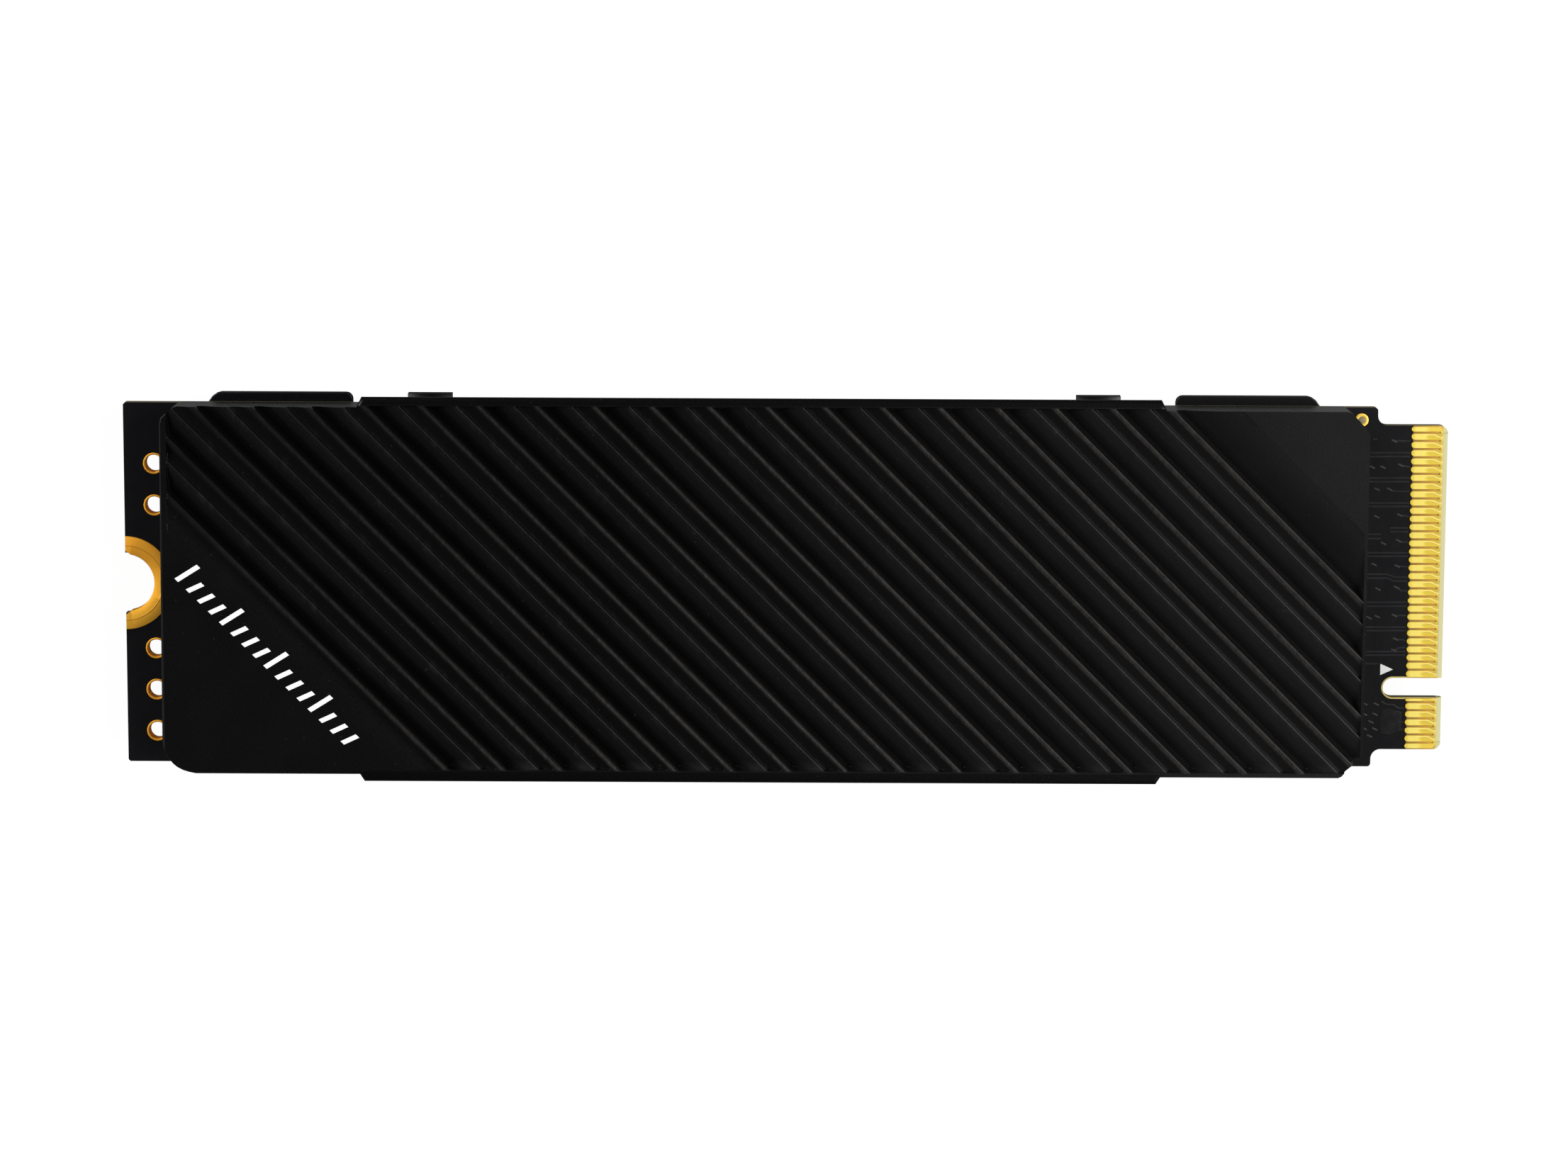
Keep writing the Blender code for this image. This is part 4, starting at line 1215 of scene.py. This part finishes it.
def build_traces():
    lines = []
    for pair in (
        (637.5, 642.8),
        (672.7, 678.1),
        (708.0, 712.7),
        (778.0, 783.0),
        (847.7, 853.4),
        (883.0, 888.0),
        (917.7, 922.7),
    ):
        for y in pair:
            lines.append([(1920, y), (1985, y)])
    lines += [[(1959, 743), (1985, 743)], [(1959, 748.4), (1985, 748.4)]]
    lines += [[(1922, 751.9), (1947, 751.9)], [(1922, 757.8), (1947, 757.8)]]
    for shift in (0, 5.5):
        lines.append(
            [
                (1920, 808.3 + shift),
                (1956, 808.3 + shift),
                (1967, 812.5 + shift),
                (1985, 812.5 + shift),
            ]
        )
    lines += [
        [(1920, 934.8), (1946, 934.8)],
        [(1962, 621), (1985, 621)],
        [(1956.8, 688.6), (1962, 691.7), (1985, 691.7)],
        [(1972, 655), (1985, 657.5)],
        [(1972, 725), (1985, 727)],
        [(1971, 761), (1976, 763), (1985, 763)],
        [(1970, 796.7), (1985, 798)],
        [(1970, 827), (1976, 831.7), (1985, 831.7)],
        [(1968, 866.7), (1985, 866.7)],
        [(1970, 900), (1985, 902)],
        [(1968, 916), (1976, 912), (1985, 912)],
        [(1952.9, 988.8), (1959, 992.7), (1970, 993.4), (1977, 998.1), (1985, 998.1)],
        [(1977, 1017.6), (1985, 1017.6)],
        [(1977, 1028.4), (1985, 1028.4)],
        [(1931.5, 618.6), (1938.5, 618.6)],
    ]
    meshes = [
        ridge([board_point(*p) for p in line], 0.125, 0.022) for line in lines
    ]
    vias = [
        (1931.9, 657.8), (1946.7, 657.8), (1938.9, 688.6), (1956.8, 688.6),
        (1939.7, 727.4), (1949.8, 764.8), (1937.3, 794.6), (1943.6, 829.3),
        (1931.9, 869.8), (1943.6, 868.2), (1968.0, 916.0),
        (1928.8, 991.9), (1945.1, 992.4), (1928.8, 1006.7), (1943.6, 1006.7),
        (1938.1, 1017.6), (1928.8, 1027.2), (1943.6, 1027.7), (1936.6, 1037.8),
        (1972, 655), (1972, 725), (1971, 761), (1970, 796.7), (1970, 827),
        (1968, 866.7), (1970, 900), (1962, 621),
    ]
    # Each shows through the mask as a short slanted bump, its mask painted lighter as a glint.
    bumps = [
        ridge(
            [
                board_point(px - 3.6, py - 1.5),
                board_point(px - 1.2, py - 0.7),
                board_point(px + 1.4, py + 0.6),
                board_point(px + 3.8, py + 2.0),
            ],
            0.12,
            0.03,
        )
        for px, py in vias
    ]
    # A filled copper area beside the slot.
    area = [
        (1953, 1000), (1962, 997), (1972, 1001), (1981, 1004), (1981, 1030),
        (1966, 1036), (1952, 1034), (1950, 1016),
    ]
    flat = outline_mesh(
        "pour",
        [list(reversed([board_point(*p) for p in area]))],
        BOARD_TOP - 0.005,
        BOARD_TOP + 0.016,
    )
    round_rims(flat, [BOARD_TOP + 0.016], 0.012, 1)
    piece("look_vias", joined(bumps, "vias"), via_mask_painted_glint, smooth=50)
    piece("look_copper_area", flat, area_mask, smooth=50)
    piece("look_traces", joined(meshes, "traces"), copper_mask, smooth=50)


# --------------------------------------------------------------------- plain white marks


def build_marks():
    """A row of slanted bars on the heatsink and a triangle beside the key slot."""
    height = SINK_TOP
    bars = []
    along = Vector((1, -1)).normalized()
    across = Vector((1, 1)).normalized()
    start = Vector((-36.05, 1.3))
    position = 0.0
    for k in range(16):
        length = 1.55 if k % 4 == 0 else 0.95
        width = 0.3
        p = start + along * position
        a = p - across * 0.8
        b = a + across * length
        lean = along * 0.35
        corners = [a, a + along * width, b + along * width + lean, b + lean]
        loop = [(c.x, c.y) for c in corners]
        area = sum(
            loop[i][0] * loop[(i + 1) % 4][1] - loop[(i + 1) % 4][0] * loop[i][1]
            for i in range(4)
        )
        if area < 0:
            loop.reverse()
        bars.append(outline_mesh("bar", [loop], height - 0.004, height + 0.012))
        position += 0.93
    piece("look_print_bars", joined(bars, "bars"), print_white, smooth=30)
    tri = [board_point(1950, 935), board_point(1950, 951), board_point(1968, 943)]
    area = sum(
        tri[i][0] * tri[(i + 1) % 3][1] - tri[(i + 1) % 3][0] * tri[i][1]
        for i in range(3)
    )
    if area < 0:
        tri.reverse()
    piece(
        "look_print_triangle",
        outline_mesh("tri", [tri], BOARD_TOP - 0.002, BOARD_TOP + 0.012),
        print_white,
        smooth=30,
    )


# --------------------------------------------------------------------- hidden electronics


def dress_electronics():
    looks = {
        "thermal_pad": (silicone, "thermal_silicone"),
        "inductor": (ferrite, "ferrite"),
        "crystal": (nickel, "metal_lid"),
    }
    for name, obj in nodes_of_frame.items():
        if name in STOOD_FOR:
            continue
        material, slot_name = moulding, "package_moulding"
        for start, look in looks.items():
            if name.startswith(start):
                material, slot_name = look
        obj.data.materials.clear()
        obj.data.materials.append(material)
        bevel = obj.modifiers.new("edges", "BEVEL")
        bevel.width = 0.03 * MM
        bevel.segments = 2
        bevel.limit_method = "ANGLE"
        bevel.angle_limit = math.radians(35)


# --------------------------------------------------------------------- stage and camera


def build_stage():
    n = Nodes("white_floor")
    diffuse = n.add("ShaderNodeBsdfDiffuse")
    diffuse.inputs["Color"].default_value = (0.10, 0.10, 0.10, 1)
    glow = n.add("ShaderNodeEmission")
    faint = n.noise(0.004, 2.0)
    n.join(n.mix(faint, (0.985, 0.985, 0.985), (1.0, 1.0, 1.0)), glow.inputs["Color"])
    # The paper glows for the eye alone, so that it doesn't light the metal from below.
    path = n.add("ShaderNodeLightPath")
    n.join(n.remap(path.outputs["Is Camera Ray"], 0.0, 1.0, 0.08, 0.94), glow.inputs["Strength"])
    both = n.add("ShaderNodeAddShader")
    n.join(diffuse.outputs[0], both.inputs[0])
    n.join(glow.outputs[0], both.inputs[1])
    n.join(both.outputs[0], n.out.inputs["Surface"])
    n.tree.nodes.remove(n.shader)

    cage = bmesh.new()
    rings = [
        [
            cage.verts.new((r * math.cos(math.tau * k / 48), r * math.sin(math.tau * k / 48), -0.00002))
            for k in range(48)
        ]
        for r in (0.15, 0.6, 3.9)
    ]
    cage.faces.new(rings[0])
    for a, b in zip(rings, rings[1:]):
        for k in range(48):
            cage.faces.new((a[k], b[k], b[(k + 1) % 48], a[(k + 1) % 48]))
    bmesh.ops.recalc_face_normals(cage, faces=cage.faces)
    mesh = bpy.data.meshes.new("floor")
    cage.to_mesh(mesh)
    cage.free()
    mesh.materials.append(n.material)
    floor = bpy.data.objects.new("floor", mesh)
    bpy.context.scene.collection.objects.link(floor)

    world = bpy.data.worlds.new("studio")
    bpy.context.scene.world = world
    world.use_nodes = True
    tree = world.node_tree
    tree.nodes.clear()

    def add(kind, **settings):
        node = tree.nodes.new(kind)
        for key, value in settings.items():
            setattr(node, key, value)
        return node

    out = add("ShaderNodeOutputWorld")
    where = add("ShaderNodeTexCoord")
    split = add("ShaderNodeSeparateXYZ")
    tree.links.new(where.outputs["Generated"], split.inputs[0])
    ramp = add("ShaderNodeValToRGB")
    tree.links.new(split.outputs["Z"], ramp.inputs["Fac"])
    stops = ramp.color_ramp.elements
    stops[0].position, stops[0].color = 0.0, (0.10, 0.10, 0.102, 1)
    stops[1].position, stops[1].color = 1.0, (0.045, 0.045, 0.047, 1)
    for position, level in ((0.45, 0.12), (0.85, 0.07)):
        stop = stops.new(position)
        stop.color = (level, level, level * 1.02, 1)

    def glow_around(direction, outer, inner, level):
        """A round soft patch of light on the studio's wall."""
        toward = Vector(direction).normalized()
        dot = add("ShaderNodeVectorMath", operation="DOT_PRODUCT")
        tree.links.new(where.outputs["Generated"], dot.inputs[0])
        dot.inputs[1].default_value = toward
        patch = add("ShaderNodeMapRange", interpolation_type="SMOOTHSTEP")
        patch.inputs["From Min"].default_value = math.cos(math.radians(outer))
        patch.inputs["From Max"].default_value = math.cos(math.radians(inner))
        patch.inputs["To Max"].default_value = level
        tree.links.new(dot.outputs["Value"], patch.inputs["Value"])
        return patch.outputs["Result"]

    total = None
    for patch in (
        glow_around((0.72, -0.02, 0.69), 44, 18, 0.7),
        glow_around((-0.75, 0.35, 0.56), 36, 16, 4.0),
        glow_around((-0.80, -0.10, 0.60), 26, 10, 0.2),
    ):
        if total is None:
            total = patch
            continue
        plus = add("ShaderNodeMath", operation="ADD")
        tree.links.new(total, plus.inputs[0])
        tree.links.new(patch, plus.inputs[1])
        total = plus.outputs[0]
    scale = add("ShaderNodeVectorMath", operation="ADD")
    tree.links.new(ramp.outputs["Color"], scale.inputs[0])
    tree.links.new(total, scale.inputs[1])
    lit = add("ShaderNodeBackground")
    tree.links.new(scale.outputs["Vector"], lit.inputs["Color"])
    seen = add("ShaderNodeBackground")
    seen.inputs["Color"].default_value = (1.0, 1.0, 1.0, 1)
    path = add("ShaderNodeLightPath")
    mixer = add("ShaderNodeMixShader")
    tree.links.new(path.outputs["Is Camera Ray"], mixer.inputs[0])
    tree.links.new(lit.outputs[0], mixer.inputs[1])
    tree.links.new(seen.outputs[0], mixer.inputs[2])
    tree.links.new(mixer.outputs[0], out.inputs["Surface"])


def soft_light(name, place, aim, size, power, colour=(1, 1, 1)):
    data = bpy.data.lights.new(name, "AREA")
    data.shape = "RECTANGLE"
    data.size, data.size_y = size
    data.energy = power
    data.color = colour
    lamp = bpy.data.objects.new(name, data)
    bpy.context.scene.collection.objects.link(lamp)
    lamp.location = place
    lamp.rotation_mode = "QUATERNION"
    lamp.rotation_quaternion = (Vector(aim) - Vector(place)).to_track_quat("-Z", "Y")
    return lamp


def build_camera():
    place = Vector((-0.06, 41.645, 283.9)) * MM
    target = Vector((-0.06, -0.155, 2.9)) * MM
    forward = (target - place).normalized()
    right = forward.cross(Vector((0, 1, 0))).normalized()
    up = right.cross(forward)
    roll = math.radians(0.25)
    right, up = (
        right * math.cos(roll) + up * math.sin(roll),
        up * math.cos(roll) - right * math.sin(roll),
    )
    data = bpy.data.cameras.new("camera")
    data.lens = 107.5
    data.sensor_width = 36
    data.clip_start, data.clip_end = 0.01, 20
    camera = bpy.data.objects.new("camera", data)
    camera.matrix_world = Matrix(
        (
            (right.x, up.x, -forward.x, place.x),
            (right.y, up.y, -forward.y, place.y),
            (right.z, up.z, -forward.z, place.z),
            (0, 0, 0, 1),
        )
    )
    bpy.context.scene.collection.objects.link(camera)
    bpy.context.scene.camera = camera


# --------------------------------------------------------------------- put it together

STOOD_FOR = {
    "pcb",
    "heatsink",
    "lower_shell",
    "screw_land",
    "plated_hole_ear",
    "edge_contacts_top_long",
    "edge_contacts_top_short",
    "edge_contacts_bottom_long",
    "edge_contacts_bottom_short",
    *(f"plated_hole_{i}" for i in range(1, 6)),
}

anodised = anodised_material()
mask = mask_material()
copper_mask = trace_material(
    "solder_mask_over_traces", (0.0125, 0.0125, 0.0145), (0.0190, 0.0185, 0.0205)
)
# Painted highlight: the mask over the vias is painted lighter, as a glint.
via_mask_painted_glint = trace_material(
    "solder_mask_over_vias_painted_glint", (0.030, 0.029, 0.028), (0.044, 0.043, 0.040)
)
area_mask = trace_material(
    "solder_mask_over_copper_area", (0.0022, 0.0022, 0.0032), (0.0036, 0.0035, 0.0045)
)
land_gold = land_gold_material()
contact_gold = contact_gold_material()
contact_gold_plain = simple_material(
    "gold_small_pad", (0.92, 0.58, 0.09), (0.97, 0.68, 0.15), 0.55, 1.0
)
filling = simple_material("hole_filling", (0.20, 0.155, 0.075), (0.28, 0.22, 0.11), 0.5)
shell = shell_material()
moulding = simple_material("package_moulding", (0.022, 0.022, 0.024), (0.034, 0.034, 0.036), 0.55)
ferrite = simple_material("ferrite", (0.06, 0.06, 0.065), (0.10, 0.10, 0.105), 0.6)
nickel = simple_material("nickel_lid", (0.52, 0.50, 0.45), (0.64, 0.62, 0.56), 0.35, 1.0)
silicone = simple_material("thermal_silicone", (0.30, 0.35, 0.40), (0.38, 0.43, 0.48), 0.8)
print_white = simple_material("white_print", (0.80, 0.80, 0.80), (0.88, 0.88, 0.88), 0.55, 0.0, 6.0, 0.004)

build_heatsink()
build_lower_shell()
build_board()
build_contacts()
build_plated_holes()
build_screw_land()
build_traces()
build_marks()
dress_electronics()
build_stage()
soft_light(
    "soft_light_right", (0.432, -0.012, 0.414), (0, 0, 0), (0.45, 0.45), 3.2, (1.0, 0.99, 0.975)
)
build_camera()
bpy.context.scene.view_settings.view_transform = "Standard"
